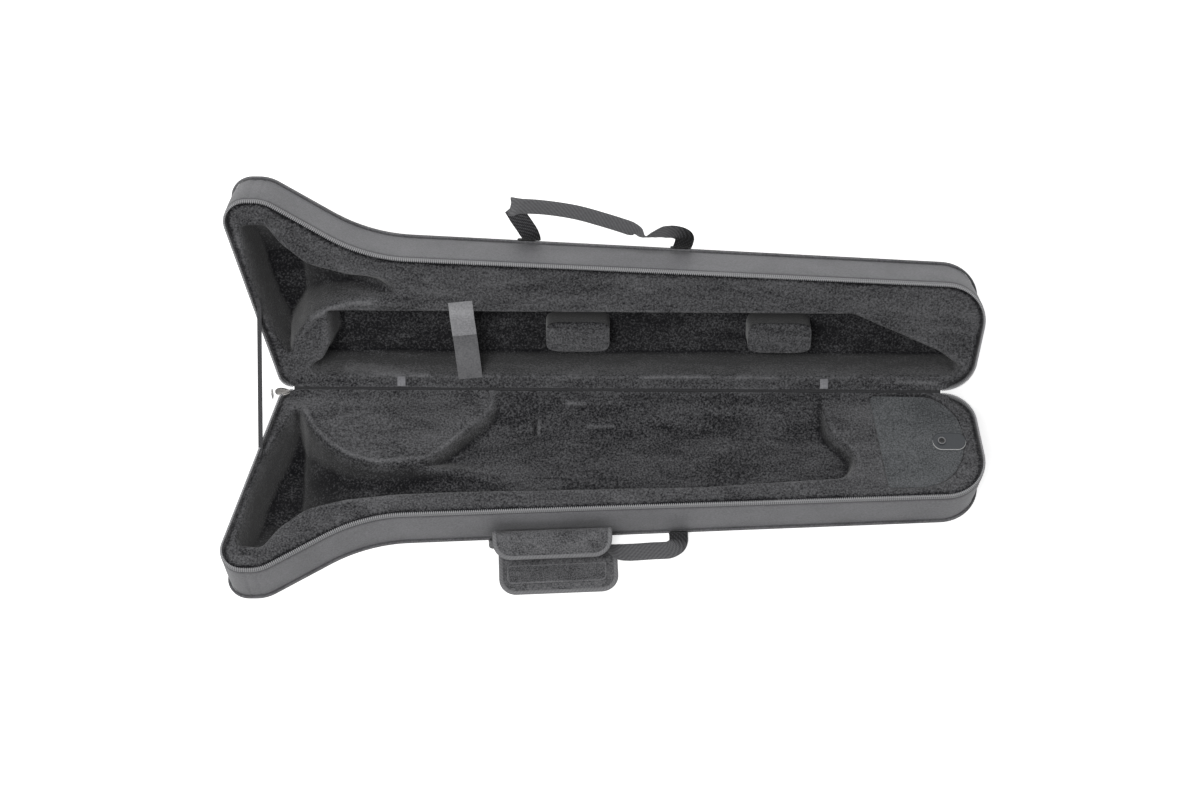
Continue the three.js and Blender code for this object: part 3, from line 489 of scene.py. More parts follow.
# Shell cloth: polyester yarn in a plain weave, coated behind, so it looks matt and even.
# Real threads lie 0.5 mm apart, and these 1.6 mm.
polyester = cloth_material("woven_polyester", "#57575a", "#747477", 1.6, 0.2, 0.62, 0.15)
# Piping: a bias strip of thinner cloth folded over a cord, with a tight, dull face.
piping_cloth = cloth_material("piping_polyester", "#4a4a4c", "#747476", 1.4, 0.15, 0.7, 0.1)
# Zip tape: narrow woven tape with the coil sewn along it, whose stitches show as pale ticks.
tape_cloth = cloth_material("zip_tape_polyester", "#4a4a4c", "#666668", 1.2, 0.2, 0.7, 0.1, 2.6)
# Hinge cloth: a strip sewn in double, coloured nearly black as painted shade, because it lies in
# the gap of both halves.
hinge_shade_weave = cloth_material("hinge_polyester_painted_shade", "#1c1c1e", "#2a2a2c", 1.2, 0.2, 0.8, 0.1)
# Satin strap: long floats of bright filament over the binding threads; its paler colour is painted
# sheen.
satin_sheen_strap = cloth_material("satin_strap_polyester", "#77777a", "#98989a", 1.2, 0.15, 0.5, 0.2)
# Satin tab: the same filament in a short end, pressed flat by its seam and a little duller.
tab_satin = cloth_material("satin_tab_polyester", "#66666a", "#828285", 1.2, 0.15, 0.6, 0.1)
# Matt strap: the back of the same ribbon, where the short floats scatter the light, and coloured
# darker as painted shade.
matt_shade_strap = cloth_material("matt_strap_polyester", "#525254", "#6e6e70", 1.2, 0.15, 0.7, 0.2)

# %% [markdown]
# The lining is brushed plush over foam: a short, dense pile that hides its knit. Light sinks
# into it, so it has no gloss, only a soft sheen. The pile shows as fine flecks, and where it was
# stroked it has lighter streaks. Each point of the mesh carries a tone that moves its colour up or
# down; on the linings and cradles it is painted light: painted highlights and painted shade.

# %% Plush
def plush_material(name, dark, light, fleck_mm, streak_mm):
    """Flecks plus long streaks of noise, moved up or down by the mesh's own tone, which holds
    painted light on the linings and cradles.
    """
    material, tree = new_material(name)
    place = add(tree, "ShaderNodeTexCoord").outputs["Object"]
    flecks = noise(tree, place, fleck_mm, 3.0, Roughness=0.7)
    stretched = add(tree, "ShaderNodeMapping", {"Vector": place, "Scale": (0.35, 1.0, 1.0)})
    streaks = noise(tree, stretched.outputs[0], streak_mm, 5.0, Roughness=0.6, Distortion=0.6)
    tone = add(tree, "ShaderNodeAttribute", attribute_name="tone").outputs["Fac"]
    pile = maths(tree, "ADD", ranged(tree, flecks, 0.3, 0.7, -0.85, 0.85),
                 ranged(tree, streaks, 0.3, 0.7, 0.2, 0.85))
    toned = maths(tree, "MULTIPLY_ADD", tone, 0.55, pile)
    share = add(tree, "ShaderNodeClamp", {"Value": toned, "Min": -0.25, "Max": 1.8}).outputs[0]
    surface(tree, mixed(tree, share, dark, light, clamp=False), 1.0, {
        "Normal": relief(tree, flecks, 0.7, 0.8), "Sheen Weight": 0.22,
        "Sheen Roughness": 0.6, "Specular IOR Level": 0.1})
    return material


# Brushed plush: a knit whose loops are torn into a short pile, so light sinks in and it has no
# gloss. Its tufts are under a millimetre, and these flecks 2.5 mm.
plush = plush_material("brushed_plush", "#28282a", "#59595b", 2.5, 24)
# Fleece on the wrap: a thinner brushed knit, paler because its pile is open and low.
fleece = plush_material("wrap_fleece", "#3c3c3e", "#6c6c6e", 2.0, 14)
# Needled felt: fibres matted by barbed needles, with no thread to see and a flat, dry face.
felt = plush_material("needled_felt", "#393b3d", "#5e6062", 2.2, 40)
# Hook and loop tape: nylon monofilament woven in loops, which catch the light as fine grain.
hook_tape = plush_material("hook_and_loop_tape", "#38383a", "#68686a", 1.6, 12)

# %% [markdown]
# Handles are polypropylene webbing: thick ribs run along it and the weft crosses them. The ribs
# follow the webbing round its folds, so they read the piece's own map and not its place. The
# small hard pieces share one finish with a fine grain, which the roughness follows.

# %% Webbing, plastics and metals
def webbing_material(name, dark, light, rib_mm, weft_mm):
    """The sum of ribs and weft, worn by a fine noise and darkened by the mesh's own tone, which is
    painted shade.
    """
    material, tree = new_material(name)
    place = add(tree, "ShaderNodeTexCoord").outputs
    height = maths(tree, "ADD", bands(tree, place["UV"], rib_mm, "Y"),
                   bands(tree, place["UV"], weft_mm, "DIAGONAL", Distortion=0.6))
    wear = noise(tree, place["Object"], 3, 3.0)
    worn = maths(tree, "MULTIPLY_ADD", wear, 0.5, ranged(tree, height, 0.0, 2.0, to_high=0.7))
    tone = add(tree, "ShaderNodeAttribute", attribute_name="tone").outputs["Fac"]
    colour = mixed(tree, maths(tree, "ADD", tone, worn), dark, light, clamp=False)
    surface(tree, colour, 0.75, {"Normal": relief(tree, height, 0.6, 0.5),
                                 "Sheen Weight": 0.15, "Specular IOR Level": 0.3})
    return material


def grained_material(name, dark, light, grain_mm, roughness, metallic=0.0):
    """A smooth moulded, cast or spun surface with a fine grain of its own."""
    material, tree = new_material(name)
    grain = noise(tree, add(tree, "ShaderNodeTexCoord").outputs["Object"], grain_mm, 3.0)
    rough = ranged(tree, grain, 0.0, 1.0, roughness - 0.08, roughness + 0.08)
    surface(tree, mixed(tree, grain, dark, light), rough, {
        "Metallic": metallic, "Normal": relief(tree, grain, 0.4, 0.05)})
    return material


# Webbing: thick polypropylene yarns woven flat, which give it ribs and a waxy, low sheen.
# Real ribs lie 1.2 mm apart, and these 2.2 mm.
webbing_weave = webbing_material("polypropylene_webbing", "#3a3a3c", "#747476", 2.2, 3.0)
# Stay webbing: a narrow tape of the same yarn, dyed darker and woven tighter.
stay_weave = webbing_material("stay_webbing", "#262628", "#4c4c4e", 1.6, 2.0)
# Grosgrain binding: ribbon with ribs across it, folded over a raw edge, and paler than fleece.
binding_tape = webbing_material("grosgrain_binding", "#58585a", "#8c8c8e", 1.6, 2.4)
# Coil: nylon monofilament pressed into teeth, so each has a smooth, bright crest.
coil_nylon = grained_material("moulded_nylon_coil", "#949496", "#bcbcbe", 2.0, 0.45)
# Vinyl: rolled out between warm cylinders, which leaves it even and half glossy.
vinyl = grained_material("calendered_vinyl", "#25282b", "#33363a", 1.0, 0.5)
# Cut vinyl edge: the sheared front edge of the same sheet, pale as a painted highlight where it
# catches the light.
vinyl_edge_highlight = grained_material("cut_vinyl_edge", "#a0a0a0", "#c4c4c4", 1.0, 0.5)
# Blackened brass: stamped and dipped, so its dark skin hides the metal.
gunmetal = grained_material("blackened_brass", "#141414", "#202020", 1.5, 0.5)
# Plated zinc: die-cast and nickelled, with soft warm reflections.
nickel = grained_material("nickel_plated_zinc", "#6c6a68", "#8a8886", 1.5, 0.35, metallic=1.0)
# Greyed brass: a rolled ring under a thin matt lacquer, paler than the rivet inside it.
eyelet_brass = grained_material("greyed_brass", "#58585a", "#7c7c7e", 1.5, 0.4)
print("materials:", len(bpy.data.materials))

# %% [markdown]
# The side wall is nylon stretched round a stiff strip. It is closed like the real one: outer
# face, rolled top and bottom edges and inner face. The cloth stands a millimetre proud between
# its seams and has long shallow ripples, which are sums of a few sines of the way round.

# %% Side walls
WALL = 6.0
TAPE_DROP, TAPE_HEIGHT = 3.4, 9.0
WALL_TOP_DROP = TAPE_DROP + TAPE_HEIGHT + CLEARANCE
RIPPLES = [(7, 0.5, 0.30), (13, 1.9, 0.22), (23, 4.2, 0.16), (41, 2.6, 0.09)]


def ripple_at(shares, phase):
    """A seeded wobble of the cloth: sine waves of whole numbers of turns round the rim."""
    waves = [size * np.sin(2 * math.pi * turns * shares + offset + phase)
             for turns, offset, size in RIPPLES]
    return sum(waves)


def seam_groove(x, shares):
    """Two sewn seams across the wall at the bell's front corner, as narrow dips."""
    plan = resample(CLOSED_OUTLINE, shares)
    front = plan[:, 1] > BELL_END_WIDTH - 6
    dips = sum(np.exp(-((x - seam_x) / 1.5) ** 2) for seam_x in (-452.0, -438.0))
    return 0.9 * dips * front


def wall_section(phase):
    """The wall's section: a bellied outer face, rolled at both edges, and a flat inner face."""
    rise = np.concatenate([[0, 0.006, 0.02, 0.05], np.linspace(0.09, 0.91, 18),
                           [0.95, 0.98, 0.994, 1]])
    roll = 1.6 * (1 - np.minimum(1, np.sqrt(np.minimum(rise, 1 - rise) / 0.03)))

    def section(x, shares):
        bottom = PANEL + CLEARANCE - depth_at(x)
        belly = np.sin(math.pi * rise) ** 0.7
        proud = (0.7 + ripple_at(shares, phase))[:, None] * belly
        outer_height = bottom[:, None] + rise * (-WALL_TOP_DROP - bottom[:, None])
        outer_inset = (roll - proud + leaning(outer_height, x[:, None])
                       + seam_groove(x, shares)[:, None])
        inner_height = np.stack([np.full(len(x), -WALL_TOP_DROP), bottom], axis=1)
        inner = WALL + leaning(inner_height, x[:, None])
        return np.hstack([outer_inset, inner]), np.hstack([outer_height, inner_height])

    return section


for (half_name, place), phase in zip(HALVES, (0.0, 2.1)):
    swept_ring(f"{half_name}_wall_cover", wall_section(phase), place, polyester, half_name,
               [f"{half_name}_side_wall"], "shell_nylon", count=1440)

# %% [markdown]
# The outer panel is the flat face of each half: board under the same cloth, softly crowned on
# the lid and flat under the base, where it stands on the floor. It is a grid of points spread
# between the four sides of the plan, which is called a Coons patch: each point is the blend of
# the sides across and along, less the blend of the four corners.

# %% Sides of the plan and the Coons patch
def nearest_indices(path, targets):
    """The index of a path's point nearest to each target."""
    return [int(np.argmin(np.linalg.norm(path - np.array(place), axis=1))) for place in targets]


def stretch(path, start, end):
    """A closed path from one index to another, with both ends."""
    return path[(start + np.arange((end - start) % len(path) + 1)) % len(path)]


def split_outline(inset, across_count, along_count):
    """The plan's four sides at an inset: hinge, front, bell end and tail, as (count, 2)."""
    dense = resample(CLOSED_OUTLINE, np.arange(6000) / 6000)
    drawn = dense + inset * inward(dense, True)
    bell_hinge, bell_front, tail_front, tail_hinge = nearest_indices(dense, [
        (BELL_HINGE, 0), (BELL_CORNER, BELL_END_WIDTH), (TAIL_CORNER, TAIL_WIDTH),
        (TAIL_HINGE, 0)])

    def even_in_x(path, count):
        order = path if path[0, 0] < path[-1, 0] else path[::-1]
        x = np.linspace(order[0, 0], order[-1, 0], count)
        return np.stack([x, np.interp(x, order[:, 0], order[:, 1])], axis=1)

    even = np.linspace(0, 1, across_count)
    bell = resample(stretch(drawn, bell_hinge, bell_front), even)
    front = even_in_x(stretch(drawn, bell_front, tail_front), along_count)
    tail = resample(stretch(drawn, tail_front, tail_hinge)[::-1], even)
    hinge = even_in_x(stretch(drawn, tail_hinge, bell_hinge), along_count)
    return hinge, front, bell, tail


def coons(hinge, front, left, right):
    """Points (along, across, 2) between two long sides and two short ones."""
    u = np.linspace(0, 1, len(hinge))[:, None, None]
    v = np.linspace(0, 1, len(left))[None, :, None]
    ruled_across = (1 - v) * hinge[:, None] + v * front[:, None]
    ruled_along = (1 - u) * left[None] + u * right[None]
    corners = ((1 - u) * (1 - v) * hinge[0] + u * (1 - v) * hinge[-1]
               + (1 - u) * v * front[0] + u * v * front[-1])
    return ruled_across + ruled_along - corners


def border(grid_index):
    """The indices round the edge of a grid, once round."""
    return np.concatenate([grid_index[:, 0], grid_index[-1, 1:], grid_index[-2::-1, -1],
                           grid_index[0, -2:0:-1]])


def edge_loop(sides):
    """The four sides of a patch as one loop, in the order of its border."""
    hinge, front, left, right = sides
    return np.concatenate([hinge, right[1:], front[-2::-1], left[-2:0:-1]])


def swell(plan, power):
    """A crown over a patch, nil at its border: two half sines multiplied, to a power."""
    rows, columns = plan.shape[:2]
    return np.outer(np.sin(math.pi * np.linspace(0, 1, rows)),
                    np.sin(math.pi * np.linspace(0, 1, columns))) ** power


def sheet_body(name, sides, top, edge_rows, bottom, place, material, body, nodes, slot,
               tone=None, cloth_map=False):
    """A closed body: a top surface over a Coons patch, rows down its edge, and a bottom.

    edge_rows are (loop of plan points, heights) from the top edge down; bottom is the heights
    of a second surface, or None for one flat cap."""
    plan = coons(*sides)
    rows, columns = plan.shape[:2]
    quads, _, _ = grid_quads(rows, columns)
    index = np.arange(rows * columns).reshape(rows, columns)
    points, faces = [np.dstack([plan, top]).reshape(-1, 3)], [quads]
    last, total = border(index), rows * columns
    for loop, heights in edge_rows:
        points.append(np.column_stack([loop, heights]))
        fresh = total + np.arange(len(loop))
        faces.append(np.stack([fresh, np.roll(fresh, -1), np.roll(last, -1), last], axis=1))
        last, total = fresh, total + len(loop)
    caps = [last[::-1]] if bottom is None else []
    if bottom is not None:
        points.append(np.dstack([plan, bottom])[1:-1, 1:-1].reshape(-1, 3))
        under = np.zeros(rows * columns, int)
        under[index[1:-1, 1:-1].ravel()] = total + np.arange((rows - 2) * (columns - 2))
        under[border(index)] = last
        faces.append(under[quads][:, ::-1])
    points, quads = np.concatenate(points), np.concatenate(faces)
    if tone is not None:
        tone = np.concatenate([tone.ravel(), np.zeros(len(points) - rows * columns)])
    return piece(name, place(points), quads, material, body, nodes, slot, caps,
                 points[quads][..., :2] * MM if cloth_map else None, tone)


# %% [markdown]
# The panel is cut from stiff board and covered before it is sewn in, so its cloth turns down
# over the board's edge. Four loops of points draw that edge, and the crown of the lid is a
# product of sines, because it must be nil along the whole seam.

# %% Outer panels
PANEL_GRID = (60, 260)
PANEL_EDGE = ((0.7, 0.3), (0, 1.3), (0, PANEL - 1.0), (0.7, PANEL))


def outer_panel(half_name, place, crown):
    """The outer face at the case's depth, swelled by crown, and the board's inner face."""
    sides = split_outline(LEAN + 2.0, *PANEL_GRID)
    plan = coons(*sides)
    floor_height = -depth_at(plan[..., 0])
    rows = []
    for inset, lift in PANEL_EDGE:
        loop = edge_loop(split_outline(LEAN + inset, *PANEL_GRID))
        rows.append((loop, lift - depth_at(loop[:, 0])))
    return sheet_body(f"{half_name}_panel_cover", sides, floor_height - crown * swell(plan, 0.35),
                      rows, floor_height + PANEL, place, polyester, half_name,
                      [f"{half_name}_outer_panel"], "shell_nylon", cloth_map=True)


outer_panel("base", on_base, 0.0)
outer_panel("lid", on_lid, 3.0)

# %% [markdown]
# The seam between wall and panel is piped: a cord wrapped in a folded strip of cloth, whose
# flange is caught in the seam. The tube is a circle carried round the plan.

# %% Piping
PIPING_RADIUS, PIPING_LIFT = 1.8, 0.6


def piping_section(x, shares):
    """A circle set out so that it stands clear of the wall, for every station."""
    angle = turns(14)
    inset = LEAN - (PIPING_RADIUS + CLEARANCE) + PIPING_RADIUS * np.cos(angle)
    lift = PIPING_RADIUS + PIPING_LIFT + PIPING_RADIUS * np.sin(angle)
    return np.tile(inset, (len(x), 1)), lift - depth_at(x)[:, None]


for half_name, place in HALVES:
    swept_ring(f"{half_name}_piping_cord", piping_section, place, piping_cloth, half_name,
               [f"{half_name}_edge_piping"], "piping", count=560)

# %% [markdown]
# The zip is a coil zip. Its tape stands round the rim from the hinge's bell end to its tail end,
# and the coil lies on top of it. Each loop of the coil shows as one small rounded tooth, and the
# 555 teeth of a half are one array: a tooth's shape, moved and turned to each place.

# %% Zip tape and coil
TAPE = 2.4
CHAIN_INSET, CHAIN_WIDTH = 0.4, 2.6
TOOTH_PITCH = 2.6


def tape_section(x, shares):
    """The tape's section: grooves where it is sewn, and a plain back."""
    rise = np.array([0, 0.1, 0.15, 0.36, 0.42, 0.6, 0.66, 0.72, 0.93, 1.0])
    groove = np.array([1.0, 0.9, 0, 0.25, 0, 0, 0.25, 0, 0, 0.5])
    height = -(TAPE_DROP + TAPE_HEIGHT) + rise * TAPE_HEIGHT
    inset = np.concatenate([groove, [TAPE - 0.3, TAPE]])
    height = np.concatenate([height, [-TAPE_DROP, -TAPE_DROP - TAPE_HEIGHT]])
    return np.tile(inset, (len(x), 1)), np.tile(height, (len(x), 1))


TOOTH_FOOT = -3.0
TOOTH_ARCH = np.array([[-0.72, TOOTH_FOOT], [-0.62, -1.7], [-0.28, -1.0], [0.28, -1.0],
                       [0.62, -1.7], [0.72, TOOTH_FOOT]])
TOOTH_RINGS = np.array([[0.0, 0.72], [0.12, 1.0], [0.88, 1.0], [1.0, 0.72]])
TOOTH_ENDS = np.array([[0, 1, 4, 5], [1, 2, 3, 4], [23, 22, 19, 18], [22, 21, 20, 19]])


def coil(half_name, place):
    """Teeth: a six-sided arch over the pitch, carried inward and narrowed at both ends."""
    count = int(ZIP_LENGTH / TOOTH_PITCH)
    plan = resample(OUTLINE, (np.arange(count) + 0.5) / count)
    normal = inward(plan, False)
    ahead = np.stack([-normal[:, 1], normal[:, 0]], axis=1)
    slide = TOOTH_ARCH[None, :, 0] * TOOTH_RINGS[:, 1:]
    height = TOOTH_FOOT + (TOOTH_ARCH[None, :, 1] - TOOTH_FOOT) * TOOTH_RINGS[:, 1:]
    inset = np.broadcast_to((CHAIN_INSET + TOOTH_RINGS[:, 0] * CHAIN_WIDTH)[:, None],
                            slide.shape)
    xy = (plan[:, None, None] + normal[:, None, None] * inset[None, ..., None]
          + ahead[:, None, None] * slide[None, ..., None])
    z = np.broadcast_to(height[None], xy.shape[:3])
    points = np.concatenate([xy, z[..., None]], axis=-1).reshape(-1, 3)
    quads, _, _ = grid_quads(*slide.shape, False, True)
    single = np.concatenate([quads, TOOTH_ENDS])
    faces = (single[None] + slide.size * np.arange(count)[:, None, None]).reshape(-1, 4)
    return piece(f"{half_name}_coil_teeth", place(points), faces, coil_nylon, half_name,
                 [f"{half_name}_zip_teeth"], "zip_teeth", sharp=70)


for half_name, place in HALVES:
    swept_ring(f"{half_name}_tape_band", tape_section, place, tape_cloth, half_name,
               [f"{half_name}_zip_tape"], "zip_tape", count=520, closed=False)
    coil(half_name, place)

# %% [markdown]
# The insert is one moulded foam body under plush, so every hollow runs into the next without a
# seam. Its top is a height over the plan. Each hollow is a depth that grows from nil at its
# outline over the run of its wall, and where hollows meet the deeper one wins. A blur then
# rounds all edges, as plush does over foam.

# %% Depth of the hollows
INSERT_DROP = 6.0
FLANGE_INSET = 2.8
BODY_INSET = WALL + CLEARANCE
BELL_MOUTH, BELL_WIDTH, BELL_LEAN = -449.0, 124.0, math.radians(4)
BELL_RADIUS, BELL_OVAL, BELL_ROOM, BELL_SLOT = 87.0, 1.16, 2.0, 54.0
HORN_SHIFT, HORN_POWER = 34.0, 0.7
THROAT_RADIUS = 21.0
BELL_END = [(-411, 46, 12), (-438, 100, 40), (-451, 144, 0), (-470, 238, 10), (-436, 241, 8),
            (-412, 204, 60), (-378, 176, 60), (-325, 162, 60)]

FLAP_NEAR, FLAP_LEFT, FLAP_END = 3.0, 364.0, 486.0
FLAP_FAR_LEFT, FLAP_SLANT = 384.0, 386.0
FLAP_FRONT_GAP, FLAP_END_GAP = 17.0, 15.0
FLAP_CORNER, FLAP_ROUND = 7, 62


def edge_distance(x, y, start, end):
    """Distance to a straight edge: the nearest place is a share of it, kept from 0 to 1."""
    ex, ey = end[0] - start[0], end[1] - start[1]
    share = ((x - start[0]) * ex + (y - start[1]) * ey) / max(ex * ex + ey * ey, 1e-9)
    share = np.clip(share, 0, 1)
    return np.hypot(x - start[0] - share * ex, y - start[1] - share * ey)


def inside_distance(plan, path):
    """Signed distance to a closed path, positive where a ray crosses it an odd number of times."""
    x, y = plan[..., 0], plan[..., 1]
    nearest, inside = np.full(x.shape, np.inf), np.zeros(x.shape, bool)
    for (ax, ay), (bx, by) in zip(path, np.roll(path, -1, axis=0)):
        nearest = np.minimum(nearest, edge_distance(x, y, (ax, ay), (bx, by)))
        if ay != by:
            inside ^= ((ay > y) != (by > y)) & (x < ax + (y - ay) * (bx - ax) / (by - ay))
    return np.where(inside, nearest, -nearest)


def line_distance(plan, path):
    """Distance to an open path of straight runs."""
    return np.minimum.reduce([edge_distance(plan[..., 0], plan[..., 1], start, end)
                              for start, end in zip(path[:-1], path[1:])])


def near_line(plan, path, width):
    """One on a path and nil away from it, by a Gaussian of the distance."""
    return np.exp(-(line_distance(plan, path) / width) ** 2)


def ease(value):
    """Smoothstep from 0 to 1."""
    t = np.clip(value, 0, 1)
    return t * t * (3 - 2 * t)


def hollow(plan, corners, depth, run):
    """A hollow of even depth whose wall slopes over run, inside rounded corners."""
    return depth * ease(inside_distance(plan, rounded(corners, 8)) / run)


def bell_depth(plan, room, fade):
    """The room of the bell: its radius falls by a power of the way from its rim.

    Along the way it fades out between the two places of fade, and its walls stand round room."""
    dx, dy = plan[..., 0] - BELL_MOUTH, plan[..., 1] - BELL_WIDTH
    along = dx * math.cos(BELL_LEAN) + dy * math.sin(BELL_LEAN)
    aside = dy * math.cos(BELL_LEAN) - dx * math.sin(BELL_LEAN)
    way = np.clip(along - BELL_SLOT, 0, None)
    radius = BELL_RADIUS * (HORN_SHIFT / (way + HORN_SHIFT)) ** HORN_POWER + BELL_ROOM
    radius = np.maximum(radius, THROAT_RADIUS)
    depth = np.sqrt(np.clip(radius ** 2 - (aside / BELL_OVAL) ** 2, 0, None))
    depth *= ease((fade[1] - along) / (fade[1] - fade[0]))
    return depth * ease(inside_distance(plan, rounded(room, 8)) / 13)


def blurred(field, passes):
    """A quarter, half, quarter blur along both ways of the grid."""
    for _ in range(passes):
        padded = np.pad(field, 1, mode="edge")
        field = (padded[:-2, 1:-1] + 2 * padded[1:-1, 1:-1] + padded[2:, 1:-1]) / 4
        padded = np.pad(field, 1, mode="edge")
        field = (padded[1:-1, :-2] + 2 * padded[1:-1, 1:-1] + padded[1:-1, 2:]) / 4
    return field


def flap_corners(inset, corner_radius, end_radius):
    """The accessory flap's plan, drawn in by an inset."""
    far_left = float(front_width(FLAP_SLANT)) - FLAP_FRONT_GAP
    far_right = float(front_width(FLAP_END)) - FLAP_END_GAP
    slope = (FLAP_SLANT - FLAP_LEFT) / (far_left - FLAP_NEAR)
    return [(FLAP_LEFT + inset + inset * slope, FLAP_NEAR + inset, corner_radius),
            (FLAP_FAR_LEFT + inset - inset * slope, far_left - inset, corner_radius),
            (FLAP_END - inset, far_right - inset, end_radius),
            (FLAP_END - inset, FLAP_NEAR + inset, end_radius)]


def fold_lines(plan, folds, width):
    """Bumps along short straight folds, where the nearest one wins."""
    return np.maximum.reduce([near_line(plan, fold, width) for fold in folds])


# %% [markdown]
# The base's foam holds the bell's half, a long bay for the slide and brace, and a box for small
# things under a flap. The outlines are drawn with a few corners and their radii, as a foam cutter
# would draw them, and an island with a raised edge parts the bell from the bay.

# %% Base hollows
BASE_ROOM = BELL_END + [(-255, 154, 0), (-60, 146, 0), (-60, 112, 0), (-230, 108, 0),
                        (-288, 108, 30), (-322, 101, 30), (-354, 82, 40), (-378, 56, 30),
                        (-392, 24, 10), (-402, 24, 8)]
BAY = [(-262, 116, 8), (-262, 151, 4), (-128, 148.5, 0), (139, 141, 0), (347, 125, 30),
       (342, 86, 34), (309, 58, 44), (300, -60, 0), (-128, -60, 0), (-140, 30, 30),
       (-178, 63, 30), (-203, 86, 30), (-222, 100, 20)]
ISLAND_EDGE = [(-386, 31), (-372, 57), (-348, 80), (-318, 98), (-288, 105), (-252, 102),
               (-221, 99), (-201, 84), (-178, 63)]
BASE_FOLDS = [((-39, 14.5), (-15, 14.5)), ((-12, 41.5), (25, 41)), ((-77, 36), (-77, 52))]


BASE_HORN_FADE = (250, 395)
BAY_DEPTH, BAY_RUN = 26, 9
BAY_RISE, BAY_RISE_RUN, BAY_RISE_POWER = -2, 62, 0.7
SILL, SILL_RUN, SILL_WIDTH, SILL_WALL = -268, 150, 92, 20
SEAT_GAP, SEAT_DEPTH, SEAT_RUN = 1.6, 3.9, 2.6
CHEST_LEDGE, CHEST_DEPTH, CHEST_RUN = 9, 50, 7
NOTCH, NOTCH_DEPTH, NOTCH_HALF = [(-81, 36), (-81, 52)], 6, 2.2


def base_depth(plan):
    """The bell's room joined to the bay, with the flap's seat, the box below it and a notch."""
    x, width = plan[..., 0], plan[..., 1]
    horn = bell_depth(plan, BASE_ROOM, BASE_HORN_FADE)
    bay = BAY_DEPTH * ease(inside_distance(plan, rounded(BAY, 10)) / BAY_RUN)
    bay *= ease((width - BAY_RISE) / BAY_RISE_RUN) ** BAY_RISE_POWER
    bay *= 1 - (1 - ease((x - SILL) / SILL_RUN)) * ease((width - SILL_WIDTH) / SILL_WALL)
    seat = hollow(plan, flap_corners(-SEAT_GAP, FLAP_CORNER, FLAP_ROUND), SEAT_DEPTH, SEAT_RUN)
    chest = hollow(plan, flap_corners(CHEST_LEDGE, FLAP_CORNER, FLAP_ROUND - CHEST_LEDGE),
                   CHEST_DEPTH, CHEST_RUN)
    deepest = np.maximum.reduce([np.hypot(horn, bay), seat, chest])
    deepest += NOTCH_DEPTH * near_line(plan, NOTCH, NOTCH_HALF)
    ridge = 1.6 * near_line(plan, ISLAND_EDGE, 4)
    return deepest - ridge - 1.2 * fold_lines(plan, BASE_FOLDS, 2.5)


def slot_shade(plan):
    """Painted shade: the bell rim's slot is narrow, so its walls are painted dark from a hand's
    breadth down.
    """
    return 0.7 * near_line(plan, [(-455, 222), (-430, 130), (-414, 60)], 13)


def base_painted_light(plan):
    """Painted light: painted highlights on the island's edge, the bell's mouth and the folds of
    the cloth, less painted shade beyond the island's edge and in the slot.
    """
    edge = 0.75 * near_line(plan, ISLAND_EDGE, 3.2)
    mouth = 0.5 * near_line(plan, [(-335, 163), (-262, 152)], 6)
    beyond = [(x + 6, width + 20) for x, width in ISLAND_EDGE[:6]]
    shade = 0.7 * near_line(plan, beyond, 14)
    return edge + mouth + 1.3 * fold_lines(plan, BASE_FOLDS, 1.8) - shade - slot_shade(plan)


# %% [markdown]
# The lid's foam holds the bell's other half and a trough for the hand slide, with a ledge beside
# the hinge over which the plush falls in uneven folds. The folds are short lines given in a list,
# and three sines move the ledge's lip in and out.

# %% Lid hollows
LID_ROOM = BELL_END + [(-285, 160, 20), (-262, 148, 12), (-262, 126, 8), (-322, 125, 30),
                       (-352, 118, 30), (-380, 98, 40), (-400, 66, 30), (-404, 44, 6)]
RECESS = [(-356, 109.5, 4), (338, 109.5, 10), (452, 58, 30), (487, 33, 6), (478, 19, 8),
          (-372, 16, 6), (-380, 30, 5), (-364, 39, 8), (-351, 66, 16)]
LID_RIDGE = [(-396, 66), (-375, 99), (-350, 114), (-322, 121), (-301, 121), (-250, 120)]
LID_FOLDS = [((-330, 27), (-285, 25)), ((-275, 25), (-205, 24)), ((-335, 20), (-225, 17)),
             ((60, 16), (150, 17)), ((190, 17), (240, 16.5)), ((400, 12), (455, 11))]
LIP_WAVES = [(37, 0.4, 0.5), (61, 2.2, 0.35), (17, 1.1, 0.7)]


LID_HORN_FADE = (120, 205)
RECESS_DEPTH, RECESS_RUN = 66.0, 7
LIP_WIDTH, LIP_RUN = 13, 14


def lid_depth(plan):
    """The bell's room or the slide's trough, whichever is deeper, with a wavering lip."""
    horn = bell_depth(plan, LID_ROOM, LID_HORN_FADE)
    x, width = plan[..., 0], plan[..., 1]
    recess = hollow(plan, RECESS, RECESS_DEPTH - INSERT_DROP, RECESS_RUN)
    lip = sum(size * np.sin(x / wave + phase) for wave, phase, size in LIP_WAVES)
    recess *= ease((width - LIP_WIDTH + lip) / LIP_RUN)
    ridge = 2.2 * near_line(plan, LID_RIDGE, 6)
    return np.maximum(horn, recess) - ridge - 0.9 * fold_lines(plan, LID_FOLDS, 3)


def lid_painted_light(plan):
    """Painted light: painted highlights on the bell's ridge, two edges, the ledge at the bell end
    and the folds of the cloth, less painted shade in the slot.
    """
    ridge = 1.4 * near_line(plan, LID_RIDGE[1:5], 4)
    tail = 0.4 * near_line(plan, [(-301, 121), (-190, 119)], 5)
    mouth = 0.55 * near_line(plan, [(-340, 172), (-288, 165)], 5)
    ledge = 0.5 * near_line(plan, [(-470, 232), (-449, 120), (-440, 90)], 6)
    return (ridge + tail + mouth + ledge + 1.3 * fold_lines(plan, LID_FOLDS, 2.2)
            - slot_shade(plan))
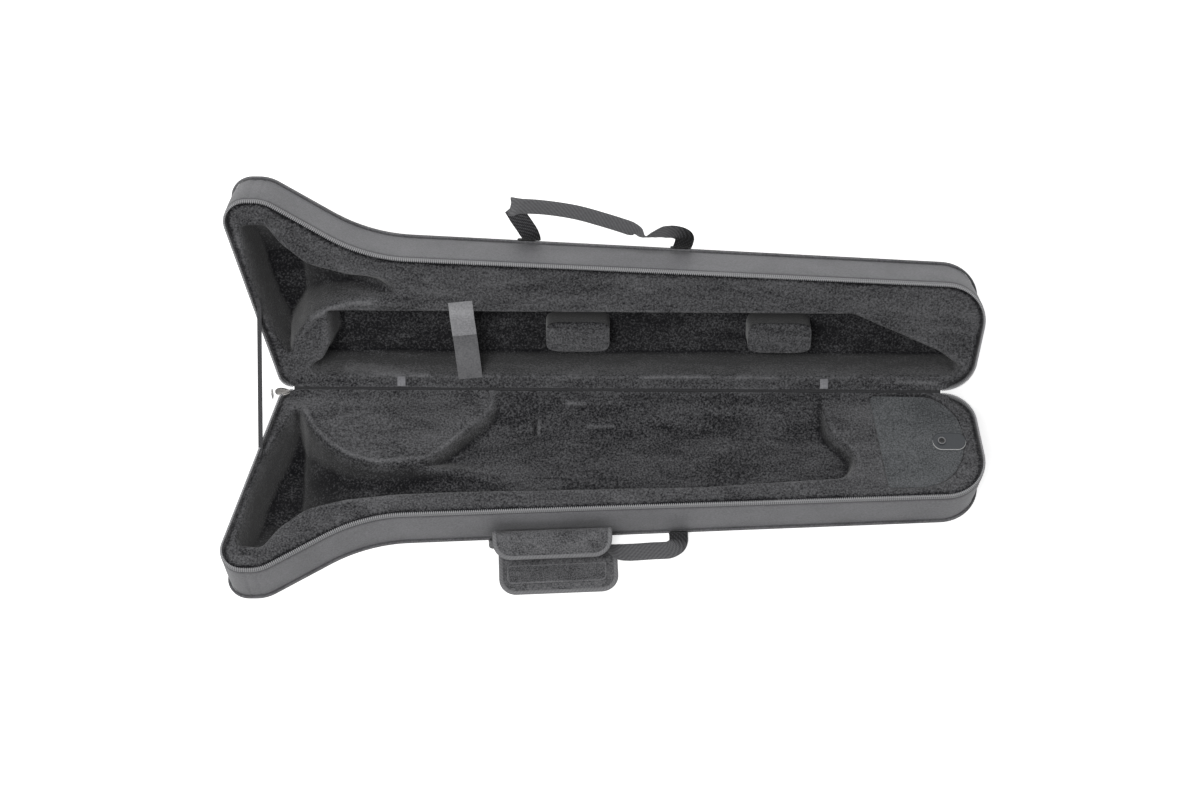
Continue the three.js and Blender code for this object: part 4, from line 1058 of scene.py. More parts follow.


# %% [markdown]
# A lining is one height over the plan, blurred once and laid over the edge of the foam down to
# the panel. Its tone is measured from the same heights and is painted light: a painted highlight
# on crests, painted shade in deep and steep places, and a dark line of painted shade along the
# edge, where the lining meets the wall.

# %% Linings
HINGE_START, HINGE_STOP, HINGE_FADE = -414, 476, 14
HUG_SHIFT, HUG_SHARE, HUG_REACH, HUG_RUN = 1.8, 0.77, 14, 8
HINGE_RISE, HINGE_RISE_REACH = 5.1, 8
LINING_GRID, LINING_STEP = (150, 470), (2.1, 1.2)
LINING_EDGE = ((FLANGE_INSET + 0.7, INSERT_DROP + 1.9, True),
               (FLANGE_INSET, INSERT_DROP + 3.0, True),
               (FLANGE_INSET, 11.4, False), (FLANGE_INSET + 0.4, 12.2, False),
               (BODY_INSET, 12.4, False))
# Painted shade: how much the lining darkens with depth, on steep walls and along its edge.
DEEP_SHADES = ((12, 45, 0.7), (0, 20, 0.3), (62, 18, 0.9))
STEEP_SHADE, EDGE_SHADE, EDGE_REACH, TONE_LIMIT = 0.6, 1.5, 3.0, 1.4


def near_hinge(x):
    """One between the rounded corners of the hinge line, nil at them."""
    return ease((x - HINGE_START) / HINGE_FADE) * ease((HINGE_STOP - x) / HINGE_FADE)


def hugged(plan):
    """The lining comes up to the hinge line: it is drawn out to a millimetre from it."""
    moved = plan.copy()
    past = plan[..., 1] - FLANGE_INSET
    drawn = (HUG_SHIFT + HUG_SHARE * past) * ease((HUG_REACH - past) / HUG_RUN)
    moved[..., 1] -= drawn * near_hinge(plan[..., 0])
    return moved


def hinge_rise(plan):
    """How far the lining rises towards the hinge line, where it is sewn in higher."""
    rise = HINGE_RISE * np.exp(-(plan[..., 1] / HINGE_RISE_REACH) ** 2)
    return rise * near_hinge(plan[..., 0])


def painted_light_tone(smooth, depth, from_edge):
    """Painted light: a painted highlight on crests, painted shade where it is deep, steep or near
    the edge.
    """
    slope = np.hypot(*(np.gradient(smooth, axis=axis) / step
                       for axis, step in enumerate(LINING_STEP)))
    crest = np.clip((smooth - blurred(smooth, 8)) / 2.6, -0.5, 0.4)
    deep = sum(weight * ease((depth - start) / run) for start, run, weight in DEEP_SHADES)
    edge = EDGE_SHADE * np.exp(-(from_edge / EDGE_REACH) ** 2)
    return crest - deep - STEEP_SHADE * np.clip(slope, 0, 1) - edge


def lining(half_name, place, depth_of, painted_light_of, phase):
    """Height: the rim's drop, less the hollows, with a slow rumple of sines."""
    inner = [hugged(side) for side in split_outline(FLANGE_INSET + 2.2, *LINING_GRID)]
    plan = coons(*inner)
    x, width = plan[..., 0], plan[..., 1]
    from_edge = inside_distance(plan, edge_loop(inner))
    from_edge += 8 * np.exp(-(width / 9) ** 2) * near_hinge(x)
    rumple = (0.35 * np.sin(x / 31 + phase) * np.sin(width / 23 + 1.3)
              + 0.25 * np.sin(x / 13 - width / 17 + 2 * phase))
    depth = np.minimum(depth_of(plan), depth_at(x) - INSERT_DROP - PANEL - 3.0)
    rolled = 1.2 * (1 - ease(from_edge / 6))
    height = -INSERT_DROP - depth + rumple - rolled + hinge_rise(plan)
    smooth = blurred(height, 1)
    smooth[[0, -1], :] = height[[0, -1], :]
    smooth[:, [0, -1]] = height[:, [0, -1]]
    tone = np.clip(painted_light_tone(smooth, depth, from_edge) + painted_light_of(plan), -TONE_LIMIT, TONE_LIMIT)
    rows = []
    for inset, drop, hugs in LINING_EDGE:
        loop = edge_loop(split_outline(inset, *LINING_GRID))
        rows.append((hugged(loop), hinge_rise(loop) - drop) if hugs
                    else (loop, np.full(len(loop), -drop)))
    foot = edge_loop(split_outline(BODY_INSET + LEAN, *LINING_GRID))
    rows.append((foot, PANEL + CLEARANCE - depth_at(foot[:, 0])))
    return sheet_body(f"{half_name}_lining", inner, smooth, rows, None, place, plush, half_name,
                      [f"{half_name}_insert"], "plush_lining", tone=tone)


lining("base", on_base, base_depth, base_painted_light, 0.4)
lining("lid", on_lid, lid_depth, lid_painted_light, 1.7)

# %% [markdown]
# Two padded cradles stand on the floor of the lid's recess and carry the hand slide. Each is a
# stuffed block: its plan shrinks towards the top, its sides draw in between the corners and its
# top is crowned.

# %% Slide cradles
PAD_LENGTH, PAD_WIDTH, PAD_HEIGHT, PAD_NEAR = 86.0, 44.0, 38.0, 41.5
PAD_RINGS, PAD_COLUMNS, PAD_SHOULDER = 26, 72, 0.55


def cradle(name, centre_x, node):
    """A superellipse plan of power 5 whose scale falls with height, closed by a crown."""
    angle = turns(PAD_COLUMNS)
    plan = np.stack([squared(np.cos(angle), 2 / 5) * PAD_LENGTH / 2,
                     squared(np.sin(angle), 2 / 5) * PAD_WIDTH / 2], axis=1)
    levels = np.linspace(0, 1, PAD_RINGS)
    crown = np.clip((levels - PAD_SHOULDER) / 0.452, 0, 1)
    side = levels < PAD_SHOULDER
    shrink = np.where(side, 1 - 0.03 * levels, np.sqrt(1 - crown ** 3.4) * 0.984)
    rise = np.where(side, levels * 1.6, 0.88 + 0.12 * np.sqrt(crown))
    points = np.empty((PAD_RINGS, PAD_COLUMNS, 3))
    points[..., :2] = plan * shrink[:, None, None] + [centre_x, PAD_NEAR + PAD_WIDTH / 2]
    points[..., 2] = (rise * PAD_HEIGHT + CLEARANCE - RECESS_DEPTH)[:, None]
    # Painted shade: the far side and the low part of each cradle are coloured darker.
    far = ease((np.sin(angle) - 0.1) / 0.5)[None] * ease((1.02 - rise) / 0.1)[:, None]
    low = ease((0.9 - rise) / 0.6)[:, None]
    made = tube(name, on_lid(points), plush, "lid", [node], "plush_lining",
                tone=0.1 - 1.6 * far - 0.5 * low)


cradle("slide_cradle_1", -25, "slide_pad_1")
cradle("slide_cradle_2", 244, "slide_pad_2")

# %% [markdown]
# Straps and handles are flat bands. The middle line is a spline through a few stations, and each
# station also says which way the band's width lies there, so that it can fold and twist. The
# section is a flat rounded strip, with its edges a little thicker, as woven edges are.

# %% Bands
SECTION_SIDE = np.linspace(-1, 1, 13)


def spline(places, shares):
    """A centripetal Catmull-Rom curve: each span is a Hermite cubic of its neighbours."""
    places = np.asarray(places, float)
    ends = np.vstack([2 * places[0] - places[1], places, 2 * places[-1] - places[-2]])
    spans = len(places) - 1
    at = np.clip(np.asarray(shares) * spans, 0, spans - 1e-9)
    k = at.astype(int)
    t = (at - k)[:, None]
    p0, p1, p2, p3 = ends[k], ends[k + 1], ends[k + 2], ends[k + 3]
    gap = lambda a, b: np.sqrt(np.linalg.norm(b - a, axis=1, keepdims=True)) + 1e-9
    d0, d1, d2 = gap(p0, p1), gap(p1, p2), gap(p2, p3)
    m1 = ((p1 - p0) / d0 - (p2 - p0) / (d0 + d1) + (p2 - p1) / d1) * d1
    m2 = ((p2 - p1) / d1 - (p3 - p1) / (d1 + d2) + (p3 - p2) / d2) * d1
    return ((2 * t ** 3 - 3 * t ** 2 + 1) * p1 + (t ** 3 - 2 * t ** 2 + t) * m1
            + (3 * t ** 2 - 2 * t ** 3) * p2 + (t ** 3 - t ** 2) * m2)


def band_points(stations, width, thickness, steps):
    """Rings of the band's section along its spline, and the length of its middle line."""
    places = np.array([place for place, _ in stations], float)
    across_at = np.array([across for _, across in stations], float)
    shares = np.linspace(0, 1, steps + 1)
    middle = spline(places, shares)
    tangent = np.gradient(middle, axis=0)
    tangent /= np.linalg.norm(tangent, axis=1, keepdims=True)
    at = shares * (len(stations) - 1)
    k = np.minimum(at.astype(int), len(stations) - 2)
    part = (at - k)[:, None]
    across = across_at[k] * (1 - part) + across_at[k + 1] * part
    across -= tangent * np.sum(across * tangent, axis=1, keepdims=True)
    across /= np.linalg.norm(across, axis=1, keepdims=True)
    through = np.cross(tangent, across)
    half = np.sqrt(1 - np.abs(SECTION_SIDE) ** 8) * (0.86 + 0.14 * SECTION_SIDE ** 2)
    side = np.concatenate([SECTION_SIDE, SECTION_SIDE[-2:0:-1]])
    lift = np.concatenate([half, -half[-2:0:-1]])
    points = (middle[:, None] + across[:, None] * side[None, :, None] * width / 2
              + through[:, None] * lift[None, :, None] * thickness / 2)
    return points, lengths_along(middle)


def band(name, stations, width, thickness, steps, place, material, body, nodes, slot,
         tones=(0, 0)):
    """A band with its own map."""
    points, travelled = band_points(stations, width, thickness, steps)
    rows, columns = points.shape[:2]
    across = np.concatenate([SECTION_SIDE, SECTION_SIDE[-2::-1]]) * width / 2
    tone = np.interp(np.linspace(0, 1, rows), np.linspace(0, 1, len(tones)), tones)
    made = tube(name, place(points), material, body, nodes, slot, along=travelled,
                across=across, tone=np.repeat(tone, columns))
    print(f"{name}: {width:.0f} by {travelled[-1]:.0f} mm")
    return made


# %% [markdown]
# Two lengths of ribbon hold the slide in its trough. The lower one is sewn beside the hinge and
# the upper one at the front, and they overlap with touch fastener. Each is one band laid over
# the plush, and the upper one's sewn root dips into the foam.

# %% Slide strap
STRAP_X, STRAP_WIDTH, STRAP_THICKNESS = -178.5, 32.0, 1.6
STRAP_DROP = INSERT_DROP - CLEARANCE - STRAP_THICKNESS / 2


def strap_stations(places):
    """The strap slants: its middle moves towards the tail as it nears the hinge."""
    return [((STRAP_X + 0.115 * (110 - width), width, rise - STRAP_DROP), (1, 0, 0))
            for width, rise in places]


LAP_LIFT = STRAP_THICKNESS + CLEARANCE
LOWER_RUN = [(14, 1), (30, 0), (60, -1), (87, 0)]
UPPER_RUN = [(124, 0.8), (114, 1.0), (104, LAP_LIFT + 1.5), (90, LAP_LIFT + 1), (77, LAP_LIFT)]
for side, run, cloth, under in (
        ("lower", LOWER_RUN, matt_shade_strap, "lid_lining"),
        ("upper", UPPER_RUN, satin_sheen_strap, "slide_strap_lower_cloth")):
    band(f"slide_strap_{side}_cloth", strap_stations(run), STRAP_WIDTH, STRAP_THICKNESS, 30,
         on_lid, cloth, f"strap_{side}", [f"slide_strap_{side}"], "slide_strap")

# %% [markdown]
# Two short ribbon tabs are sewn over the lid's edge at the hinge, to hold the lining there. A
# narrow strap at the bell end stops the lid. It is pulled tight, so it is a straight band from
# one half to the other, made once in place and carried by neither body.

# %% Hinge tabs and stay strap
TAB_CENTRES, TAB_TAPE_WIDTH, TAB_TAPE_THICKNESS = (-259.5, 303.5), 11, 1.5
STAY_ENDS = {"base": (-441.5, 89.0), "lid": (-443.5, 115.0)}
STAY_WIDTH, STAY_THICKNESS = 6.0, 1.6
STAY_DROP = INSERT_DROP - CLEARANCE - STAY_THICKNESS
ALONG_X = (1, 0, 0)

for number, centre_x in enumerate(TAB_CENTRES, start=1):
    tab_places = [np.array([centre_x, FLANGE_INSET + out, 0.0]) for out in (0.5, 4, 8, 13)]
    band(f"hinge_tab_{number}_cloth",
         [(place + [0, 0, hinge_rise(place) - INSERT_DROP + CLEARANCE + 1.1], ALONG_X)
          for place in tab_places],
         TAB_TAPE_WIDTH, TAB_TAPE_THICKNESS, 12, on_lid, tab_satin, "lid",
         [f"hinge_tab_{number}"], "slide_strap")

for half_name, place in HALVES:
    end_x, end_width = STAY_ENDS[half_name]
    band(f"stay_end_{half_name}_cloth",
         [((end_x - 0.25 * out, end_width + out, -STAY_DROP - STAY_THICKNESS / 2), ALONG_X)
          for out in (0, 6, 12)],
         STAY_WIDTH, STAY_THICKNESS, 12, place, stay_weave, half_name,
         [f"stay_end_{half_name}"], "webbing")

stay_lift = STAY_THICKNESS / 2 + CLEARANCE - STAY_DROP
base_end, lid_end = (place([*STAY_ENDS[half_name], stay_lift]) / MM
                     for half_name, place in HALVES)
stay_places = [base_end + (lid_end - base_end) * share for share in (0, 0.33, 0.67, 1)]
stay = band("stay_strap_cloth", [(place, ALONG_X) for place in stay_places], STAY_WIDTH,
            STAY_THICKNESS, 60, lambda points: points * MM, stay_weave, None, ["stay_strap"],
            "webbing")
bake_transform(stay)

# %% [markdown]
# The cloth hinge is one strip sewn into both halves. It is one mesh, made in place and carried by
# neither body, that follows the base on one side of the hinge line and the opened lid on the
# other.

# %% Cloth hinge
HINGE_LEG = TAPE_DROP + TAPE_HEIGHT
HINGE_THICKNESS = 0.9


def hinge_section():
    """Legs down both halves and a rounded crease over the hinge line, in (y, z)."""
    down = np.linspace(-HINGE_LEG, -1.8, 8)
    base_leg = np.stack([0 * down, down], axis=1)
    lid_leg = np.stack(opened(0, down[::-1]), axis=1)
    lid_back = np.stack(opened(HINGE_THICKNESS, down), axis=1)
    crest = np.array([opened(HINGE_THICKNESS, -1.1), (0, -0.6), (-HINGE_THICKNESS, -1.1)])
    base_back = np.stack([0 * down - HINGE_THICKNESS, down[::-1]], axis=1)
    return np.concatenate([base_leg, lid_leg, lid_back, crest, base_back])


section = hinge_section()
hinge_x = np.linspace(OUTLINE[0, 0] + 2, OUTLINE[-1, 0] - 2, 240)
hinge_points = np.empty((len(hinge_x), len(section), 3))
hinge_points[..., 0] = hinge_x[:, None]
hinge_points[..., 1:] = section
round_section = girth(section)
cloth_hinge = tube("cloth_hinge", from_rim_frame(hinge_points), hinge_shade_weave, None,
                   ["hinge_cloth"], "zip_tape", along=hinge_x, across=round_section)
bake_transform(cloth_hinge)

# %% [markdown]
# The accessory flap is needled felt, cut to a plan with a round end, and it lies flush in a seat
# in the base's lining. A vinyl pull tab is riveted on it, so that it can be lifted.

# %% Flap, tab and rivet
def quad_sides(corners, along_count, across_count, arc_steps=20):
    """Four sides of a rounded four-cornered plan, each from the middle of one arc to the next."""
    path = rounded(corners, arc_steps)
    dense = resample(np.vstack([path, path[:1]]), np.arange(2400) / 2400)
    near_left, far_left, far_right, near_right = nearest_indices(
        dense, [corner[:2] for corner in corners])
    along, across = np.linspace(0, 1, along_count), np.linspace(0, 1, across_count)
    left = resample(stretch(dense, near_left, far_left), across)
    far = resample(stretch(dense, far_left, far_right), along)
    right = resample(stretch(dense, far_right, near_right), across)[::-1]
    near = resample(stretch(dense, near_right, near_left), along)[::-1]
    return near, far, left, right


def soft_plate(name, corners_at, bottom, top, crown, place, material, body, nodes, slot,
               edge=0.6, along_count=60, across_count=60, tone_of=None):
    """A crowned plate with rolled edges: corners_at(inset) gives its plan."""
    sides = quad_sides(corners_at(edge), along_count, across_count)
    plan = coons(*sides)
    outer = edge_loop(quad_sides(corners_at(0), along_count, across_count))
    inner = edge_loop(sides)
    rows = [(outer, top(outer) - edge), (outer, bottom(outer) + edge), (inner, bottom(inner))]
    upper = top(plan) + crown * swell(plan, 0.3)
    tone = np.zeros(upper.shape) if tone_of is None else tone_of(plan)
    return sheet_body(name, sides, upper, rows, bottom(plan), place, material, body, nodes,
                      slot, tone=tone, cloth_map=True)


FLAP_BOTTOM, FLAP_TOP = -9.0, -6.2
level = lambda height: lambda plan: np.full(plan.shape[:-1], float(height))
flap = soft_plate("accessory_flap_felt",
                  lambda inset: flap_corners(inset, FLAP_CORNER, FLAP_ROUND - inset),
                  level(FLAP_BOTTOM), level(FLAP_TOP), 0.7, on_base, felt, "flap",
                  ["accessory_flap"], "flap_felt", edge=0.7)
cut = rounded(flap_corners(0, FLAP_CORNER, FLAP_ROUND), 24)

TAB_LENGTH, TAB_WIDTH, TAB_RADIUS = 44.0, 25.0, 12
TAB_CENTRE = (FLAP_END + 3 - TAB_LENGTH / 2, (float(front_width(FLAP_END)) - 9) / 2)
TAB_BOTTOM = -(INSERT_DROP - CLEARANCE)


def tab_corners(inset):
    """The pull tab's plan, drawn in by an inset."""
    long, wide = TAB_LENGTH / 2 - inset, TAB_WIDTH / 2 - inset
    return [(TAB_CENTRE[0] + x * long, TAB_CENTRE[1] + y * wide, TAB_RADIUS - inset)
            for x, y in ((-1, -1), (-1, 1), (1, 1), (1, -1))]


def cut_edge_highlight(height, radius):
    """The tab's sheared front edge: a thin round bead that thins out at both ends, pale as a
    painted highlight.
    """
    loop = rounded(tab_corners(0.2), 14)
    loop = loop[loop[:, 1] > TAB_CENTRE[1] - 2]
    radius = radius * np.sqrt(np.sin(math.pi * np.linspace(0.01, 0.99, len(loop))))[:, None]
    angle = turns(6)
    out = inward(loop, False)[:, None] * (radius * np.cos(angle))[..., None]
    rise = (height + radius * np.sin(angle))[..., None]
    points = np.concatenate([loop[:, None] + out, rise], axis=-1)
    return tube("pull_tab_cut_edge", on_base(points), vinyl_edge_highlight, "pull_tab", (), "pull_tab")


def eyelet(height):
    """A rolled brass ring round the rivet: a circle carried round a circle."""
    low, high = (np.array(corner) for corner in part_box("flap_rivet"))
    centre = (low + high) / 2
    angle, round_it = turns(36)[:, None], turns(10)[None]
    radius = 4.5 + 0.9 * np.cos(round_it)
    points = np.stack([radius * np.cos(angle), radius * np.sin(angle),
                       height + 0.7 * np.sin(round_it) + 0 * angle], axis=-1) * MM
    points[..., :2] += centre[:2]
    points[..., 2] += high[2] - TAPER * (points[..., 0] - centre[0])
    return tube("flap_eyelet", points, eyelet_brass, "flap", (), "metal_trim", ring=True)


soft_plate("pull_tab_vinyl", tab_corners, level(TAB_BOTTOM), level(TAB_BOTTOM + 1.7), 0.2,
           on_base, vinyl, "pull_tab", ["flap_pull_tab"], "pull_tab", edge=0.5,
           along_count=36, across_count=26)
cut_edge_highlight(TAB_BOTTOM + 1.3, 0.55)
eyelet(0.1)

# %% [markdown]
# The slider is die-cast zinc: two plates joined by a post at one end, so that the coil can run
# between them. It is one lens-shaped outline, scaled from ring to ring up its height. The pull
# and the rivet keep their solids, which are true to the object, and only take their finish.

# %% Slider, pull and rivet
SLIDER_CENTRE, SLIDER_HALF = (-417.5, 3.8), (10.0, 4.6)
SLIDER_SCALE = np.array([0.7, 0.96, 1.0, 0.9, 0.45, 0.45, 0.9, 1.0, 0.96, 0.7, 0.3, 0.28])
SLIDER_HEIGHT = np.array([-6.4, -6.1, -5.3, -4.8, -4.5, -2.6, -2.3, -1.8, -1.0, -0.6, -0.5,
                          0.4])


def slider_body():
    """A lens in plan, and in height two plates with a waist between them for the chain."""
    angle = turns(40)
    lens = np.stack([SLIDER_HALF[0] * np.cos(angle),
                     SLIDER_HALF[1] * np.sin(angle) * (1 - 0.25 * np.cos(angle))], axis=1)
    points = np.empty((len(SLIDER_SCALE), len(angle), 3))
    points[..., :2] = lens * SLIDER_SCALE[:, None, None] + np.array(SLIDER_CENTRE)
    points[..., 2] = SLIDER_HEIGHT[:, None]
    return tube("zip_slider_body", on_base(points), nickel, "base", ["zip_slider"],
                "metal_trim")


slider_body()
for name, material in (("flap_rivet", gunmetal), ("zip_pull", nickel)):
    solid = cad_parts[name]
    solid.data.materials.clear()
    solid.data.materials.append(material)

# %% [markdown]
# The webbing handles are sewn into the seam of the outer panel by two short ends each. The lid's
# handle stands up, folds over and slumps towards the tail. The base's handle lies on the floor:
# its middle stands on edge inside the wrap, then it twists flat and runs to its far end.

# %% Handles
WEBBING_WIDTH, WEBBING_THICKNESS = 25.0, 2.0
HANDLE_CENTRE, HANDLE_SPAN = 8.0, 204.0
ANCHOR_HEIGHT = 13.0
SEAM_DIRECTION = np.array([1, FRONT_SLOPE, TAPER]) / np.linalg.norm([1, FRONT_SLOPE, TAPER])
ANCHOR_OUT = 2 * PIPING_RADIUS + 2 * CLEARANCE + WEBBING_THICKNESS
SEAM_OUT = ANCHOR_OUT - LEAN
END_OUT = ANCHOR_OUT + CLEARANCE + WEBBING_THICKNESS / 2
ANCHOR_X = (HANDLE_CENTRE - HANDLE_SPAN / 2, HANDLE_CENTRE + HANDLE_SPAN / 2)


def beside_seam(x, out, lift):
    """Places beside the outer seam from x, the way out from the wall and the lift."""
    return np.stack([x - FRONT_SLOPE * out, front_width(x) + out, lift - depth_at(x)], axis=-1)


def station(x, out, lift, across=ALONG_X):
    """A place beside the seam and the way the band's width lies there."""
    return beside_seam(x, out, lift), SEAM_DIRECTION * across[0] + [0, across[1], across[2]]


def webbing(name, table, steps, place, body, node, tones=(0, 0)):
    """Handle webbing through a table of stations. Without a body it joins the base to the grip."""
    stations = [station(*row) for row in table]
    made = band(name, stations, WEBBING_WIDTH, WEBBING_THICKNESS, steps, place, webbing_weave,
                body, [node], "webbing", tones)
    if body is None:
        tuple(place(stations[-1][0]))
        tuple(place(stations[0][0]))
        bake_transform(made)


HANDLE_OUT, HANDLE_LIFT = SEAM_OUT + 0.92, PIPING_LIFT
LID_HANDLE = [
    (-88, -1.9, 2, (1, 0, 0)), (-88, 1.5, 5, (1, 0, 0)), (-90, 8, 8, (1, 0.1, 0)),
    (-97, 19, 8, (0.85, 0.55, 0)), (-105.5, 31, 8.5, (0.72, 0.7, 0)),
    (-111.5, 41, 9, (0.5, 0.86, 0)), (-115.5, 47.4, 10.5, (0.3, 0.95, 0)),
    (-116.8, 48.6, 13.5, (0.23, 0.97, 0)), (-115.5, 49.4, 16.5, (0.2, 0.98, 0)),
    (-111, 50.8, 18, (0.12, 0.99, 0.1)), (-102, 51.2, 18, (0, 1, 0.3)),
    (-73, 49.5, 14, (0, 1, 0.36)), (-32, 44.5, 12, (0, 1, 0.36)),
    (8, 34.5, 10, (0, 1, 0.36)), (42, 24.5, 9, (0, 1, 0.36)), (52, 20.5, 9, (0.1, 0.9, 0.6)),
    (58, 15, 9, (0.2, 0.5, 0.9)), (64, 13.5, 9, (0.1, 0.4, 1)), (74, 17, 9, (0, 0.7, 0.8)),
    (88, 21.5, 9, (0.1, 0.9, 0.5)), (103, 22.5, 10, (0.3, 0.8, 0.4)),
    (115, 17, 11, (0.8, 0.45, 0.2)), (115, 9, 9, (1, 0.1, 0)), (114, 3, 6, (1, 0, 0)),
    (113, -1.9, 2, (1, 0, 0)),
]
# Painted shade: the handle is coloured darker at its first leg's foot and at its far end, where it
# lies in shadow.
HANDLE_SHADE_TONE = ([-0.9, -0.9, -0.85, -0.75, -0.65, -0.5, -0.3, -0.1] + [0.1] * 12
               + [-0.1, -0.5, -1, -1, -1, -1])
webbing("lid_handle_strap", [(x, HANDLE_OUT + out, HANDLE_LIFT + lift, across)
                             for x, out, lift, across in LID_HANDLE],
        260, on_lid, "lid_handle", "lid_handle_webbing", HANDLE_SHADE_TONE)

# Painted shade: the sewn ends are coloured darker, as they lie against the wall in its shadow.
for half_name, place in HALVES:
    for number, centre_x in enumerate(ANCHOR_X, start=1):
        webbing(f"{half_name}_handle_end_{number}_sewn",
                [(centre_x, SEAM_OUT - WEBBING_THICKNESS / 2, PIPING_LIFT + lift)
                 for lift in (0, 2.5, 5)],
                12, place, half_name, f"{half_name}_handle_anchor_{number}", (-0.7, -0.7))

WRAP_CENTRE, WRAP_LENGTH, WRAP_THICKNESS, SPINE_HEIGHT = -58.0, 156.0, 2.6, 29.0
SPINE_NEAR = END_OUT + WEBBING_THICKNESS / 2 + CLEARANCE
SPINE_FAR = SPINE_NEAR + WRAP_THICKNESS
GRIP_OUT = SPINE_FAR + CLEARANCE + WEBBING_THICKNESS / 2
SPINE_FOOT, SPINE_POWER = 0.4, 0.3
GRIP_LIFT = SPINE_FOOT + SPINE_HEIGHT / 2
WRAP_END = WRAP_CENTRE + WRAP_LENGTH / 2
GRIP_START, GRIP_END, TWIST, REACH = WRAP_CENTRE - WRAP_LENGTH / 2 + 2, 84.0, 24.0, 25.0
UPRIGHT, FLAT = (0, 0, 1), (0, 1, 0)
webbing("base_handle_strap", [
    (GRIP_START, GRIP_OUT, GRIP_LIFT, UPRIGHT),
    ((GRIP_START + WRAP_END) / 2 - 20, GRIP_OUT, GRIP_LIFT, UPRIGHT),
    (WRAP_END - 1.1 * TWIST, GRIP_OUT, GRIP_LIFT, UPRIGHT),
    (WRAP_END - 0.6 * TWIST, GRIP_OUT + 5, GRIP_LIFT - 1, (0, 0.35, 1)),
    (WRAP_END - 0.1 * TWIST, REACH - 2, 9.5, (0, 0.9, 0.6)),
    (WRAP_END + 0.4 * TWIST, REACH + 1, 5.2, (0, 1, 0.15)),
    (WRAP_END + TWIST, REACH + 1, 2.6, FLAT),
    (GRIP_END - 8, REACH, 2.2, FLAT),
    (GRIP_END, REACH, 2.2, FLAT),
], 150, on_base, "base_handle", "base_handle_grip")

CURL = 7.0
webbing("base_handle_bell_length", [
    (GRIP_START - CLEARANCE, GRIP_OUT, GRIP_LIFT, UPRIGHT),
    (GRIP_START - 0.6 * CURL, GRIP_OUT, GRIP_LIFT, UPRIGHT),
    (GRIP_START - CURL, (GRIP_OUT + END_OUT) / 2, GRIP_LIFT, UPRIGHT),
    (GRIP_START - 0.6 * CURL, END_OUT, GRIP_LIFT, UPRIGHT),
    (GRIP_START, END_OUT, GRIP_LIFT, UPRIGHT),
    (ANCHOR_X[0] - WEBBING_WIDTH / 2, END_OUT - LEAN / 2, GRIP_LIFT, UPRIGHT),
], 60, on_base, None, "base_handle_end_1")

ANCHOR_TOP = PIPING_LIFT + ANCHOR_HEIGHT
# Painted shade: this length darkens towards its anchor, where it lies in the wall's shadow.
webbing("base_handle_tail_length", [
    (GRIP_END, REACH, 2.2, FLAT),
    (GRIP_END + 6, REACH, 2.2, FLAT),
    (GRIP_END + 13, REACH - 0.5, 2.4, (0.35, 1, 0)),
    (ANCHOR_X[1] - 3, REACH - 6, 3.4, (1, 0.9, 0)),
    (ANCHOR_X[1], REACH - 13, 4.2, (1, 0.25, 0)),
    (ANCHOR_X[1], END_OUT + WEBBING_THICKNESS, ANCHOR_TOP / 2, (1, 0.05, 0)),
    (ANCHOR_X[1], END_OUT - LEAN + WEBBING_THICKNESS / 2, 0.75 * ANCHOR_TOP),
    (ANCHOR_X[1], END_OUT - LEAN, ANCHOR_TOP),
], 60, on_base, None, "base_handle_end_2", (0, 0, -0.1, -0.8, -0.9, -0.9))

# %% [markdown]
# The wrap closes round both handles to make one padded grip. Here it lies open. Its spine is
# sewn to the base's webbing, the lower flap lies on the floor and the upper flap stands off it.
# Each flap is fleece inside with a bound edge, and carries one half of the touch fastener.

# %% Handle wrap
BIND_REACH, BIND_HALF = 2.4, 3.0
FINE = np.linspace(0, 1, 200)


